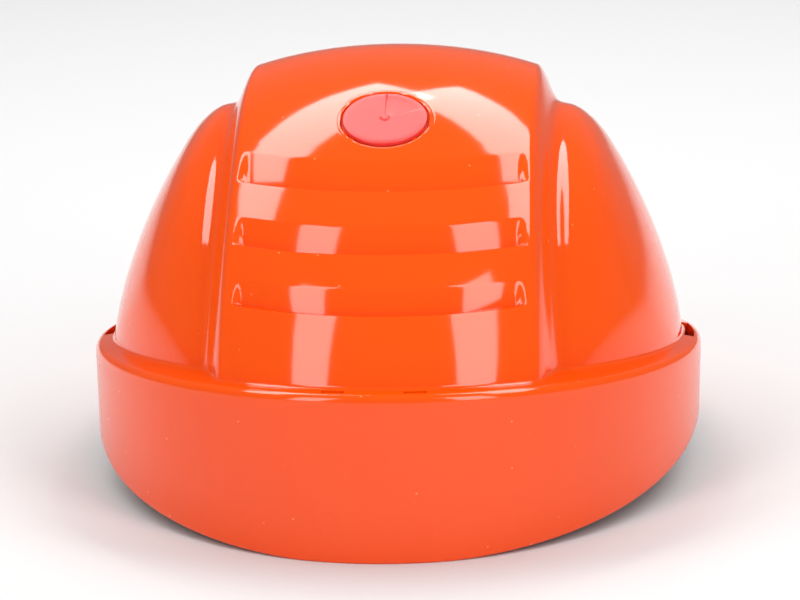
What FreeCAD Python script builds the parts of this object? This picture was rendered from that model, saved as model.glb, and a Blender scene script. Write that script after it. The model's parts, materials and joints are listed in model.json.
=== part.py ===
"""Industrial safety helmet: moulded shell with a raised centre band and a deep rear skirt,
a six-point cradle of webbing straps, and a headband with a swinging, ratchet-tightened nape.

Frame: millimetres, +Z up, +Y towards the wearer's front, origin on the table under the
middle of the shell's outline.
"""
import FreeCAD, Part
import math
import os

Vector = FreeCAD.Vector
X_AXIS = Vector(1, 0, 0)
Y_AXIS = Vector(0, 1, 0)
Z_AXIS = Vector(0, 0, 1)

# alias, millimetres or degrees, what it is
DIMENSIONS = [
    ("rim_half_width", 110, "shell's outer edge, centre to side"),
    ("rim_back", 137, "shell's outer edge, widest section to the back"),
    ("rim_front", 143, "widest section to the tip of the peak"),
    ("rim_mid_height", 43.7, "top of the ledge at the widest section"),
    ("rim_slope", 0.111, "fall of the ledge per millimetre towards the front"),
    ("peak_drop", 16, "extra fall of the ledge at the tip of the peak"),
    ("skirt_draft", 0.5, "skirt's lower edge inside its upper edge, at the back"),
    ("skirt_slope", 0.13, "rise of the skirt's lower edge per millimetre towards the ears"),
    ("ear_rise", 17, "height of the skirt's lower edge at the ears"),
    ("wall", 2.8, "shell wall"),
    ("ledge_fall", 1.5, "fall of the ledge from the crown to its outer edge"),
    ("crown_half_width", 103, "crown at the ledge, centre to side"),
    ("crown_back", 130, "raised band at the ledge, to the back"),
    ("crown_front", 116, "raised band at the ledge, to the front"),
    ("crown_top", 149.5, "height of the crown"),
    ("band_half_width", 56.5, "raised band, centre to the middle of its flank"),
    ("band_taper", 4, "how much narrower the band is at the top than at the ledge, each side"),
    ("band_flank", 7.5, "width over which the band's flank falls"),
    ("band_rise", 9.5, "most that the band stands above the cheeks"),
    ("fan_height", 20, "height of the line that the crown's sections turn about"),
    ("disc_radius", 14.7, "indicator disc"),
    ("disc_thick", 1.6, "indicator disc"),
    ("disc_gap", 1.0, "gap round the indicator disc"),
    ("louvre_half_length", 50, "pressed louvre in the band"),
    ("louvre_height", 7.4, "pressed louvre in the band"),
    ("louvre_depth", 2.6, "pressed louvre in the band"),
    ("slot_length", 36, "accessory slot at each side"),
    ("slot_width", 3.8, "accessory slot at each side"),
    ("head_half_width", 80, "inside of the headband, side"),
    ("head_half_length", 98, "inside of the headband, front"),
    ("headband_thick", 1.8, "headband"),
    ("headband_height", 28, "headband"),
    ("headband_low", 30, "lower edge of the headband"),
    ("strap_width", 20, "cradle webbing"),
    ("strap_thick", 1.2, "cradle webbing"),
    ("strap_foot_height", 60, "lower end of the webbing"),
    ("cradle_top", 116, "top of the webbing cradle"),
    ("pinion_pitch_radius", 5, "gear on the ratchet's shaft"),
    ("gear_module", 1, "pinion and racks"),
    ("nape_height", 27, "height of the ratchet's shaft"),
    ("knob_radius", 13, "ratchet knob"),
    ("pivot_height", 42, "side pivots of the nape strap"),
    ("pivot_radius", 3, "side pivot stud"),
    ("running_gap", 0.05, "radial clearance of a turning fit"),
]

doc = FreeCAD.newDocument("SafetyHelmet")
sheet = doc.addObject("Spreadsheet::Sheet", "Sizes")
for row, (alias, value, words) in enumerate(DIMENSIONS, start=1):
    sheet.set(f"A{row}", words)
    sheet.set(f"B{row}", str(value))
    sheet.setAlias(f"B{row}", alias)
doc.recompute()

sub_parts = []


def size(alias):
    """A driving dimension, as a number."""
    return float(getattr(sheet, alias))


def bind(thing, **expressions):
    """Bind properties to the sheet; a double underscore stands for a dot in a property's path."""
    for name, expression in expressions.items():
        thing.setExpression(name.replace("__", "."), expression)
    return thing


def finished(thing, label):
    """Name an object as a finished sub-part."""
    thing.Label = label
    sub_parts.append(thing)
    return thing


def place(thing, base, axis=Z_AXIS, degrees=0):
    thing.Placement = FreeCAD.Placement(base, FreeCAD.Rotation(axis, degrees))
    return thing


def block(name, length, width, height, base, axis=Z_AXIS, degrees=0):
    """A box whose three sizes are expressions of the sheet."""
    box = doc.addObject("Part::Box", name)
    bind(box, Length=length, Width=width, Height=height)
    return place(box, base, axis, degrees)


def round_bar(name, radius, height, base, axis=Z_AXIS, degrees=0):
    """A cylinder along +Z, turned about axis."""
    bar = doc.addObject("Part::Cylinder", name)
    bind(bar, Radius=radius, Height=height)
    return place(bar, base, axis, degrees)


def bar_to_back(name, radius, height, base):
    """A cylinder from base towards -Y."""
    return round_bar(name, radius, height, base, X_AXIS, 90)


def fused(name, *things):
    union = doc.addObject("Part::MultiFuse", name)
    union.Shapes = list(things)
    return union


def cut(name, base, *tools):
    result = doc.addObject("Part::Cut", name)
    result.Base = base
    result.Tool = tools[0] if len(tools) == 1 else fused(name + "_tools", *tools)
    return result


def common(name, first, second):
    result = doc.addObject("Part::Common", name)
    result.Base = first
    result.Tool = second
    return result


def shaped(name, shape):
    """A free-form shape as an object of the document."""
    thing = doc.addObject("Part::Feature", name)
    thing.Shape = shape
    return thing


def smooth_step(value, low, high):
    part = min(max((value - low) / (high - low), 0.0), 1.0)
    return part * part * (3.0 - 2.0 * part)


# ---------------------------------------------------------------- crown surface

CHEEK_FULLNESS = 1.0985e-3  # how fast the cheeks close in with height
CHEEK_POWER = 1.42
CHEEK_FOOT = 46.0           # height where the cheeks start to close in
FLARE = 0.16                # spread of the wall below that height, hidden by the ledge
SHOULDER_FOOT = 50.0        # height where the band starts to close in
BAND_SIDE_POWER = 3.45      # how square the band is across
BAND_LENGTH = 1.046         # band's length at the fan line, over its length at the ledge
CHEEK_LENGTH = 0.94         # cheeks' length over the band's
CHEEK_TOP_MARGIN = 20.0     # the cheeks' own top, above the band's
CHEEK_LENGTH_POWER = 2.6
CHEEK_PLAN_POWER = 2.15
SOFT = 5.0                  # blend radius of the cheek's shoulder
GROOVE_WIDTH = 3.0          # shallow groove beside the band


def cheek_half_width(height):
    if height < CHEEK_FOOT:
        return size("crown_half_width") + FLARE * (CHEEK_FOOT - height)
    closing = CHEEK_FULLNESS * (height - CHEEK_FOOT) ** CHEEK_POWER
    return size("crown_half_width") * math.sqrt(max(0.0, 1.0 - closing))


def closing_length(height, base_length, top, power):
    part = max(height - SHOULDER_FOOT, 0.0) / (top - SHOULDER_FOOT)
    return base_length * math.sqrt(max(0.0, 1.0 - part ** power))


def fan_radius(turn, across, inside_test):
    """Distance from the fan line to the surface, by halving."""
    low, high = 0.0, 220.0
    for _ in range(40):
        middle = (low + high) / 2.0
        back = -middle * math.cos(turn)
        up = size("fan_height") + middle * math.sin(turn)
        if inside_test(across, back, up):
            low = middle
        else:
            high = middle
    return low


def crown_length(along):
    return size("crown_back") if along < 0 else size("crown_front")


def in_band(across, along, up):
    wide = closing_length(up, size("crown_half_width") + 2.0, size("crown_top"), BAND_SIDE_POWER)
    part = max(up - size("fan_height"), 0.0) / (size("crown_top") - size("fan_height"))
    long = BAND_LENGTH * crown_length(along) * math.sqrt(max(0.0, 1.0 - part * part))
    return min(wide, long) > 0.01 and (across / wide) ** 2 + (along / long) ** 2 < 1.0


def in_cheek(across, along, up):
    wide = cheek_half_width(up)
    top = size("crown_top") + CHEEK_TOP_MARGIN
    long = CHEEK_LENGTH * closing_length(up, crown_length(along), top, CHEEK_LENGTH_POWER)
    if min(wide, long) < 0.01:
        return False
    power = CHEEK_PLAN_POWER
    return (abs(across) / wide) ** power + (abs(along) / long) ** power < 1.0


def soft_min(first, second, soft):
    part = max(soft - abs(first - second), 0.0) / soft
    return min(first, second) - part * part * soft / 4.0


def taper_shift(turn, station):
    """How far the lines beside the band move out at the ledge and in at the top."""
    out = 0.5 - smooth_step(math.sin(turn), 0.1, 0.95)
    near_band = smooth_step(station, 0.0, 46.0) * (1.0 - smooth_step(station, 66.0, 88.0))
    return size("band_taper") * out * near_band


def crown_radius(turn, station, across):
    """Distance from the fan line to the crown's outer surface."""
    band = fan_radius(turn, across, in_band)
    cheek = soft_min(fan_radius(turn, across, in_cheek), band - size("band_rise"), SOFT)
    half_flank = size("band_flank") / 2.0
    middle = size("band_half_width")
    rise = 1.0 - smooth_step(abs(station), middle - half_flank, middle + half_flank)
    groove = math.exp(-((abs(station) - middle - half_flank - 1.0) / GROOVE_WIDTH) ** 2)
    return cheek - groove + rise * (band - cheek)


def crown_point(turn, station):
    """A point of the crown's outer surface, on the line that starts at a station across."""
    shift = taper_shift(turn, abs(station))
    across = math.copysign(abs(station) + shift, station) if station else 0.0
    radius = crown_radius(turn, station, across)
    return Vector(across, -radius * math.cos(turn), size("fan_height") + radius * math.sin(turn))


def in_crown(across, along, up):
    """Whether a point is inside the crown's outer surface."""
    rise = up - size("fan_height")
    turn = math.atan2(rise, -along)
    station = abs(across)
    for _ in range(5):
        station = abs(across) - taper_shift(turn, station)
    return math.hypot(along, rise) < crown_radius(turn, station, across)


def across_stations():
    """Places across the crown: close together over the band's flank and at the sides."""
    edge = size("band_half_width")
    half = [0.0, 16.0, 31.0, 42.0, edge - 8.0]
    half += [edge - 5.5 + 1.4 * step for step in range(10)]
    half += [edge + 11.0, 72.0, 78.0, 84.0, 89.5, 94.0, 97.5, 100.0, 101.7, 103.0, 104.0]
    return [-value for value in reversed(half[1:])] + half


def closed_solid(faces):
    shell = Part.makeShell(faces)
    shell.sewShape()
    return Part.makeSolid(shell)


def crown_solid(inset):
    """The crown as a closed solid, its surface moved inwards by inset."""
    steps = 30
    grid = []
    for across in across_stations():
        row = []
        for step in range(steps + 1):
            point = crown_point(math.pi * step / steps, across)
            row.append(point)
        grid.append(row)
    if inset:
        grid = moved_inwards(grid, inset)
    surface = Part.BSplineSurface()
    surface.interpolate(grid)
    skin = surface.toShape()
    faces = [skin]
    rims = {"low": [], "left": [], "right": []}
    ends = (grid[0][0].x, grid[-1][0].x)
    for edge in skin.Edges:
        middle = edge.valueAt((edge.FirstParameter + edge.LastParameter) / 2.0)
        if abs(middle.x - ends[0]) < 1e-3:
            rims["left"].append(edge)
        elif abs(middle.x - ends[1]) < 1e-3:
            rims["right"].append(edge)
        else:
            rims["low"].append(edge)
    chords = []
    for side in (0, -1):
        chords.append(Part.makeLine(grid[side][0], grid[side][-1]))
    faces.append(Part.Face(Part.Wire(Part.__sortEdges__(rims["left"] + [chords[0]]))))
    faces.append(Part.Face(Part.Wire(Part.__sortEdges__(rims["right"] + [chords[1]]))))
    faces.append(Part.Face(Part.Wire(Part.__sortEdges__(rims["low"] + chords))))
    return closed_solid(faces)


def moved_inwards(grid, inset):
    """Move each point of the grid along the surface's inward normal, keeping flat ends flat."""
    last_row, last_column = len(grid) - 1, len(grid[0]) - 1
    moved = []
    for i, row in enumerate(grid):
        new_row = []
        for j, point in enumerate(row):
            across = grid[min(i + 1, last_row)][j] - grid[max(i - 1, 0)][j]
            along = row[min(j + 1, last_column)] - row[max(j - 1, 0)]
            normal = across.cross(along)
            normal.normalize()
            if normal.dot(point - Vector(0, 0, size("fan_height"))) > 0:
                normal = -normal
            if j in (0, last_column):
                normal.z = 0.0
            if i in (0, last_row):
                normal = Vector(0, normal.y, normal.z)
            new_row.append(point + normal * inset)
        moved.append(new_row)
    for i in (0, last_row):
        shift = math.copysign(inset, -moved[i][0].x)
        moved[i] = [Vector(grid[i][0].x + shift, point.y, point.z) for point in moved[i]]
    return moved


def tilted_block(name, low_back, thick):
    """A wide slab whose lower face lies on the ledge's sloping plane, moved down by low_back."""
    slope = math.degrees(math.atan(size("rim_slope")))
    slab = doc.addObject("Part::Box", name)
    slab.Length, slab.Width, slab.Height = 300.0, 400.0, thick
    rotation = FreeCAD.Rotation(X_AXIS, -slope)
    corner = Vector(0, 0, size("rim_mid_height") - low_back) + rotation.multVec(Vector(-150, -200, 0))
    slab.Placement = FreeCAD.Placement(corner, rotation)
    return slab


# ---------------------------------------------------------------- ledge, skirt and peak

def ledge_height(along):
    """Top of the ledge's outer edge: a sloping plane that droops over the peak."""
    height = size("rim_mid_height") - size("rim_slope") * along
    if along > 0:
        height -= size("peak_drop") * (along / size("rim_front")) ** 2.2
    return height


FOOT_SINK = 0.5    # the skirt's lowest points are trimmed flat by this much


def skirt_height(along):
    """Lower edge of the skirt: lowest at the back, raised over the ears, low again at the peak."""
    rise = min(size("skirt_slope") * (along + size("rim_back")), size("ear_rise"))
    return rise * (1.0 - smooth_step(along, 20.0, 132.0)) - FOOT_SINK


def draft_at(along):
    """Inset of the skirt's lower edge, in step with its depth."""
    depth = ledge_height(along) - skirt_height(along)
    full_depth = ledge_height(-size("rim_back")) + FOOT_SINK
    return size("skirt_draft") * depth / full_depth


def outline(inset, height_rule, front_inset=None, drafted=False):
    """A closed curve round the helmet, inset from the outer edge, at a height by rule."""
    front_inset = inset if front_inset is None else front_inset
    points = []
    steps = 72
    for step in range(steps):
        turn = 2.0 * math.pi * step / steps
        front = math.sin(turn) > 0
        length = size("rim_front") if front else size("rim_back")
        draft = draft_at(length * math.sin(turn)) if drafted else 0.0
        across = (size("rim_half_width") - inset - draft) * math.cos(turn)
        along = (length - (front_inset if front else inset) - draft) * math.sin(turn)
        points.append(Vector(across, along, height_rule(length * math.sin(turn))))
    curve = Part.BSplineCurve()
    curve.interpolate(Points=points, PeriodicFlag=True)
    return curve.toShape()


def skirt_ring():
    """Ledge plate and hanging skirt as one closed ring of ruled faces."""
    wall, edge = size("wall"), 2.4
    reach, front_reach = 22.0, 42.0
    plane = lambda along: size("rim_mid_height") - size("rim_slope") * along
    inner_top = lambda along: plane(along * 0.8) + size("ledge_fall") * 2.6
    profile = [
        (reach, inner_top),
        (edge, lambda along: ledge_height(along) + 0.3),
        (edge * 0.3, lambda along: ledge_height(along) - edge * 0.3),
        (0.0, lambda along: ledge_height(along) - edge),
        (0.01, skirt_height),
        (wall * 0.9, skirt_height),
        (wall, lambda along: ledge_height(along) - 3.4),
        (reach, lambda along: inner_top(along) - 3.4),
    ]
    loops = []
    for inset, rule in profile:
        front_inset = front_reach if inset == reach else inset
        loops.append(outline(inset, rule, front_inset, rule is skirt_height))
    faces = []
    for first, second in zip(loops, loops[1:] + loops[:1]):
        faces.append(Part.makeRuledSurface(first, second))
    return closed_solid(faces)


# ---------------------------------------------------------------- shell

LOUVRE_HEIGHTS = (122.6, 104.8, 86.5)   # middle of each pressed louvre
DISC_HEIGHT = 137.3


def surface_point(across, height):
    """A point of the back of the crown at a height."""
    low, high = 0.0, math.pi / 2.0
    for _ in range(40):
        middle = (low + high) / 2.0
        if crown_point(middle, across).z < height:
            low = middle
        else:
            high = middle
    return crown_point(low, across)


def disc_seat():
    """Middle of the indicator on the band, and the rotation that turns +Z to its outward normal."""
    middle = surface_point(0.0, DISC_HEIGHT)
    reach = size("disc_radius") * 0.5
    above = surface_point(0.0, DISC_HEIGHT + reach * 0.6)
    below = surface_point(0.0, DISC_HEIGHT - reach * 0.6)
    tilt = 90.0 - math.degrees(math.atan2(above.z - below.z, above.y - below.y))
    return middle, FreeCAD.Rotation(X_AXIS, 90.0 - tilt)


def louvre_window(name, height, grow):
    """A round-ended bar through the back of the crown."""
    half, radius = size("louvre_half_length") + grow, size("louvre_height") / 2.0 + grow
    bar = doc.addObject("Part::Box", name + "_middle")
    bar.Length, bar.Width, bar.Height = 2.0 * (half - radius), 70.0, 2.0 * radius
    bar.Placement.Base = Vector(-half + radius, -140.0, height - radius)
    ends = []
    for side in (-1, 1):
        end = doc.addObject("Part::Cylinder", name + ("_left" if side < 0 else "_right"))
        end.Radius, end.Height = radius, 70.0
        place(end, Vector(side * (half - radius), -70.0, height), X_AXIS, 90)
        ends.append(end)
    return fused(name, bar, *ends)


CLIP = {"width": 24.0, "thick": 2.6, "below": 7.0, "above": 12.0}   # strap clip


def wall_distance(direction, height, half_width=13.0):
    """From the middle to the wall's inside along a direction, for a part of some width."""
    turn = math.radians(direction)
    nearest = 200.0
    for aside in (-half_width, 0.0, half_width):
        for up in (height - CLIP["below"] - 2.0, height + CLIP["above"]):
            low, high = 40.0, 160.0
            for _ in range(20):
                middle = (low + high) / 2.0
                across = middle * math.cos(turn) - aside * math.sin(turn)
                along = middle * math.sin(turn) + aside * math.cos(turn)
                if in_crown(across, along, up):
                    low = middle
                else:
                    high = middle
            nearest = min(nearest, low)
    return nearest - size("wall") - 1.0


STRAP_DIRECTIONS = (0, 48, 132)
SOCKET_HEIGHT = 8.0


def turned_box(name, direction, low, high):
    """A box between two corners given as (out, aside, up), turned about +Z to a direction."""
    box = doc.addObject("Part::Box", name)
    box.Length, box.Width, box.Height = high[0] - low[0], high[1] - low[1], high[2] - low[2]
    turn = FreeCAD.Rotation(Z_AXIS, direction)
    box.Placement = FreeCAD.Placement(turn.multVec(Vector(*low)), turn)
    return box


def add_socket(body, crown, direction):
    """Fuse a moulded socket for one strap clip to the inside of the wall."""
    reach = wall_distance(direction, size("strap_foot_height"))
    half = CLIP["width"] / 2.0
    low = size("strap_foot_height") - CLIP["below"]
    name = f"socket_{direction:03d}"
    block_in_wall = turned_box(name, direction, (reach - 4.8, -half - 2.2, low),
                               (reach + 12.0, half + 2.2, low + SOCKET_HEIGHT))
    lump = common(name + "_lump", block_in_wall, crown)
    mouth = turned_box(name + "_mouth", direction, (reach - 3.0, -half - 0.1, low - 1.0),
                       (reach - 0.2, half + 0.1, low + SOCKET_HEIGHT + 1.0))
    return cut(name + "_cut", fused(name + "_joined", body, lump), mouth)


def make_shell():
    """Moulded shell: crown with a raised band, ledge, skirt and peak."""
    outer = crown_solid(0.0)
    inner = crown_solid(size("wall"))
    crown = shaped("crown_outside", outer)
    head_space = shaped("crown_inside", inner)
    thick = shaped("louvre_lining_inside", inner.copy())
    thick.Placement.Base = Vector(0, 0.68 * size("wall"), -0.68 * size("wall"))
    ring = shaped("skirt_and_ledge", skirt_ring())
    upper = common("crown_above_ledge", crown, tilted_block("above_ledge", 4.2, 200.0))
    hollow = cut("crown_wall", fused("crown_and_skirt", upper, ring), head_space)
    linings, windows = [], []
    for number, height in enumerate(LOUVRE_HEIGHTS, start=1):
        top = surface_point(0.0, height + size("louvre_height") / 2.0)
        sunk = shaped(f"louvre_floor_{number}", outer.copy())
        angle = math.degrees(math.atan(size("louvre_depth") / size("louvre_height")))
        turned = FreeCAD.Placement(Vector(), FreeCAD.Rotation(X_AXIS, angle), top)
        sunk.Placement = turned
        window = louvre_window(f"louvre_{number}", height, 0.0)
        windows.append(cut(f"louvre_tool_{number}", window, sunk))
        lining = louvre_window(f"lining_{number}", height, 2.0)
        linings.append(cut(f"lining_tool_{number}", common(f"lining_in_{number}", lining, crown), thick))
    disc_middle, back = disc_seat()
    boss = doc.addObject("Part::Cylinder", "disc_boss")
    bind(boss, Radius="Sizes.disc_radius + Sizes.disc_gap + 2.5", Height="Sizes.wall + 2")
    normal = back.multVec(Z_AXIS)
    boss.Placement = FreeCAD.Placement(disc_middle - normal * (size("wall") + 3.4), back)
    recess = doc.addObject("Part::Cylinder", "disc_recess")
    bind(recess, Radius="Sizes.disc_radius + Sizes.disc_gap", Height="12")
    recess.Placement = FreeCAD.Placement(disc_middle - normal * 2.2, back)
    slots = []
    for side in (-1, 1):
        slot = block("side_slot", "Sizes.slot_width", "Sizes.slot_length", "14",
                     Vector(side * 106.1 - size("slot_width") / 2.0, -7.0, 32.0))
        slots.append(slot)
        slots.append(block("rear_slot", "8", "2.2", "14", Vector(side * 14.0 - 4.0, -132.8, 50.0)))
    under = doc.addObject("Part::Box", "under_table")
    under.Length, under.Width, under.Height = 300.0, 400.0, 10.0
    under.Placement.Base = Vector(-150, -200, -10)
    body = cut("level_shell", fused("lined_shell", hollow, boss, *linings), under)
    for number, tool in enumerate([recess, *windows, *slots], start=1):
        body = cut(f"shell_cut_{number}", body, tool)
    for direction in STRAP_DIRECTIONS:
        for end in (0, 180):
            body = add_socket(body, crown, direction + end)
    return finished(body, "shell")


# ---------------------------------------------------------------- indicator

def make_indicator():
    """Round age indicator: an adhesive pad and the dyed disc with a pointer line and a nub."""
    disc_middle, back = disc_seat()
    normal = back.multVec(Z_AXIS)
    pad = doc.addObject("Part::Cylinder", "pad")
    bind(pad, Radius="Sizes.disc_radius - 1.5", Height="0.3")
    pad.Placement = FreeCAD.Placement(disc_middle - normal * 2.2, back)
    finished(pad, "indicator_pad")
    disc = doc.addObject("Part::Cylinder", "disc_blank")
    bind(disc, Radius="Sizes.disc_radius", Height="Sizes.disc_thick")
    disc.Placement = FreeCAD.Placement(disc_middle - normal * 1.9, back)
    line = doc.addObject("Part::Box", "pointer_line")
    line.Length, line.Width, line.Height = 0.5, size("disc_radius") - 2.0, 1.0
    top = size("disc_thick") - 1.9 - 0.4
    line.Placement = FreeCAD.Placement(
        disc_middle + back.multVec(Vector(-0.25, 1.5, top)), back)
    nub = doc.addObject("Part::Cylinder", "nub")
    nub.Radius, nub.Height = 0.9, 0.8
    nub.Placement = FreeCAD.Placement(disc_middle + back.multVec(Vector(0, 0, top)), back)
    finished(fused("disc", cut("disc_lined", disc, line), nub), "indicator_disc")


# ---------------------------------------------------------------- webbing cradle

def ellipse_bar(name, major, minor, length, placement, centred=False):
    """An elliptical bar along the placement's own +Z; sizes are expressions."""
    ellipse = doc.addObject("Part::Ellipse", name + "_outline")
    bind(ellipse, MajorRadius=major, MinorRadius=minor)
    ellipse.Placement = placement
    bar = doc.addObject("Part::Extrusion", name)
    bar.Base = ellipse
    bar.DirMode = "Normal"
    bar.Solid = True
    bar.Symmetric = centred
    bind(bar, LengthFwd=length)
    return bar


def make_strap(number, direction):
    """One arch of webbing from clip to clip, over the head."""
    feet = [wall_distance(direction + end, size("strap_foot_height")) - 3.0 for end in (180, 0)]
    middle, reach = (feet[1] - feet[0]) / 2.0, (feet[0] + feet[1]) / 2.0
    lift = (number - 2) * (size("strap_thick") + 1.4)
    turn = FreeCAD.Rotation(Z_AXIS, direction)
    upright = turn.multiply(FreeCAD.Rotation(X_AXIS, 90))
    centre = turn.multVec(Vector(middle, 0, 0))
    centre.z = size("strap_foot_height")
    placement = FreeCAD.Placement(centre, upright)
    rise = f"Sizes.cradle_top - Sizes.strap_foot_height + {lift}"
    name = f"strap_{number}"
    outer = ellipse_bar(name + "_over", f"{reach}", rise, "Sizes.strap_width", placement, True)
    inner = ellipse_bar(name + "_under", f"{reach} - Sizes.strap_thick",
                        f"{rise} - Sizes.strap_thick", "Sizes.strap_width", placement, True)
    ring = cut(name + "_ring", outer, inner)
    keep = doc.addObject("Part::Box", name + "_keep")
    keep.Length, keep.Width, keep.Height = 300.0, 60.0, 100.0
    corner = turn.multVec(Vector(-150, -30, 0))
    corner.z = size("strap_foot_height") + SOCKET_HEIGHT - CLIP["below"] + 0.6
    keep.Placement = FreeCAD.Placement(corner, turn)
    return common(name, ring, keep)


def make_cradle():
    """Three crossing webbing straps and the stitched pad over their crossing."""
    for number, direction in enumerate(STRAP_DIRECTIONS, start=1):
        finished(make_strap(number, direction), f"crown_strap_{number}")
    pad = doc.addObject("Part::Cylinder", "crossing_pad")
    pad.Radius, pad.Height = 24.0, 1.4
    pad.Placement.Base = Vector(0, 0, size("cradle_top") - 8.6)
    finished(pad, "crown_pad")


def make_clips():
    """Six moulded clips that hold the straps in the shell's sockets."""
    names = ("right", "front_right", "front_left", "left", "back_left", "back_right")
    half = CLIP["width"] / 2.0
    foot_height = size("strap_foot_height")
    low = foot_height - CLIP["below"]
    directions = list(STRAP_DIRECTIONS) + [direction + 180 for direction in STRAP_DIRECTIONS]
    for direction, word in zip(directions, names):
        reach = wall_distance(direction, foot_height)
        back = reach - 2.9 + CLIP["thick"]
        plate = turned_box("clip_plate", direction, (reach - 2.9, -half, low - 2.0),
                           (back, half, foot_height + CLIP["above"]))
        foot = turned_box("clip_foot", direction, (reach - 5.5, 7.0 - half, low - 4.0),
                          (back, half - 7.0, low - 2.0))
        window = turned_box("clip_window", direction, (reach - 5.0, -6.0, foot_height + 9.0),
                            (back + 1.0, 6.0, foot_height + 11.5))
        finished(cut("clip", fused("clip_joined", plate, foot), window), "strap_clip_" + word)


# ---------------------------------------------------------------- headband

def upright_placement(height):
    return FreeCAD.Placement(Vector(0, 0, height), FreeCAD.Rotation(Z_AXIS, 90))


def along_x(name, radius, low, high, side, along, height):
    """A cylinder on an X line, from low to high out from the middle, on one side."""
    bar = doc.addObject("Part::Cylinder", name)
    bar.Radius, bar.Height = radius, high - low
    place(bar, Vector(side * low, along, height), Y_AXIS, 90 * side)
    return bar


def make_headband():
    """Open band round the front and sides of the head, with a pivot boss at each end."""
    low = upright_placement(size("headband_low"))
    outer = ellipse_bar("headband_outer", "Sizes.head_half_length + Sizes.headband_thick",
                        "Sizes.head_half_width + Sizes.headband_thick", "Sizes.headband_height", low)
    inner = ellipse_bar("headband_inner", "Sizes.head_half_length", "Sizes.head_half_width",
                        "Sizes.headband_height", low)
    ring = cut("headband_ring", outer, inner)
    back = doc.addObject("Part::Box", "headband_back")
    back.Length, back.Width, back.Height = 200.0, 100.0, 60.0
    back.Placement.Base = Vector(-100, -126, 10)
    body = cut("headband_open", ring, back)
    bosses, holes = [], []
    for side in (-1, 1):
        bosses.append(along_x("headband_boss", 8.0, 79.0, 82.0, side, -15.0, size("pivot_height")))
        holes.append(along_x("headband_hole", size("pivot_radius"), 70.0, 90.0, side, -15.0,
                             size("pivot_height")))
    body = cut("headband_holed", fused("headband_joined", body, *bosses), *holes)
    finished(body, "headband")
    pad_low = upright_placement(size("headband_low") - 1.0)
    outer = ellipse_bar("sweat_outer", "Sizes.head_half_length - 0.1", "Sizes.head_half_width - 0.1",
                        "Sizes.headband_height + 2", pad_low)
    inner = ellipse_bar("sweat_inner", "Sizes.head_half_length - 3.4", "Sizes.head_half_width - 3.4",
                        "Sizes.headband_height + 2", pad_low)
    front = doc.addObject("Part::Box", "sweat_front")
    front.Length, front.Width, front.Height = 130.0, 80.0, 60.0
    front.Placement.Base = Vector(-65, 40, 10)
    finished(common("sweatband_pad", cut("sweat_ring", outer, inner), front), "sweatband")


def make_pivots():
    """Snap studs through the headband that the nape strap swings on."""
    for side, word in ((-1, "left"), (1, "right")):
        head = along_x("stud_head", 6.5, 84.8, 86.8, side, -15.0, size("pivot_height"))
        shank = along_x("stud_shank", size("pivot_radius"), 78.0, 84.9, side, -15.0,
                        size("pivot_height"))
        flange = along_x("stud_flange", 5.0, 77.4, 79.0, side, -15.0, size("pivot_height"))
        finished(fused("stud", head, shank, flange), "pivot_stud_" + word)


# ---------------------------------------------------------------- nape strap and ratchet

HOUSING = {"front": -96.0, "back": -103.0, "half_width": 31.0, "half_height": 15.0}
COVER_BACK = -105.0
RACK_FRONT, RACK_BACK = -98.4, -102.4
KNOB_FRONT, KNOB_BACK = -105.4, -115.4
GEAR_TEETH = 10
TOOTH_LIFT, TOOTH_SINK, TOOTH_SLANT, BACKLASH = 0.8, 1.05, math.radians(25.0), 0.16


def box_between(name, low, high):
    box = doc.addObject("Part::Box", name)
    box.Length, box.Width, box.Height = high[0] - low[0], high[1] - low[1], high[2] - low[2]
    box.Placement.Base = Vector(*low)
    return box


ARM_REACH = 84.6    # inside of the nape strap, from its pivots to its rear


def make_arms():
    """Nape strap: two swept arms that hang from the pivots and carry the ratchet's housing."""
    pivot = Vector(0, -15.0, size("pivot_height"))
    tilt = math.degrees(math.atan((size("pivot_height") - size("nape_height")) / 83.0))
    turn = FreeCAD.Rotation(X_AXIS, tilt)
    for side, word in ((-1, "left"), (1, "right")):
        base = pivot + turn.multVec(Vector(0, 0, -10.0))
        placement = FreeCAD.Placement(base, turn.multiply(FreeCAD.Rotation(Z_AXIS, 90)))
        outer = ellipse_bar("arm_outer", f"{ARM_REACH} + Sizes.headband_thick",
                            "Sizes.head_half_width + 4.4", "20", placement)
        inner = ellipse_bar("arm_inner", f"{ARM_REACH}", "Sizes.head_half_width + 2.6", "20", placement)
        ring = cut("arm_ring", outer, inner)
        keep = doc.addObject("Part::Box", "arm_keep")
        keep.Length, keep.Width, keep.Height = 80.0, 119.0, 80.0
        keep.Placement.Base = Vector(18.0 if side > 0 else -98.0, -135.0, 0.0)
        boss = along_x("arm_boss", 9.0, 82.6, 84.4, side, -15.0, size("pivot_height"))
        hole = along_x("arm_hole", size("pivot_radius") + size("running_gap"), 70.0, 95.0, side,
                       -15.0, size("pivot_height"))
        room = box_between("arm_room", (-40.0, HOUSING["front"] - 24.0, 0.0),
                           (40.0, HOUSING["front"], 80.0))
        tab = box_between("arm_tab", (18.0 if side > 0 else -31.0, HOUSING["front"] + 0.01, 18.0),
                          (31.0 if side > 0 else -18.0, HOUSING["front"] + 2.6, 36.0))
        joined = fused("arm_joined", common("arm_half", ring, keep), boss, tab)
        finished(cut("arm", joined, hole, room), "nape_arm_" + word)


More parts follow.
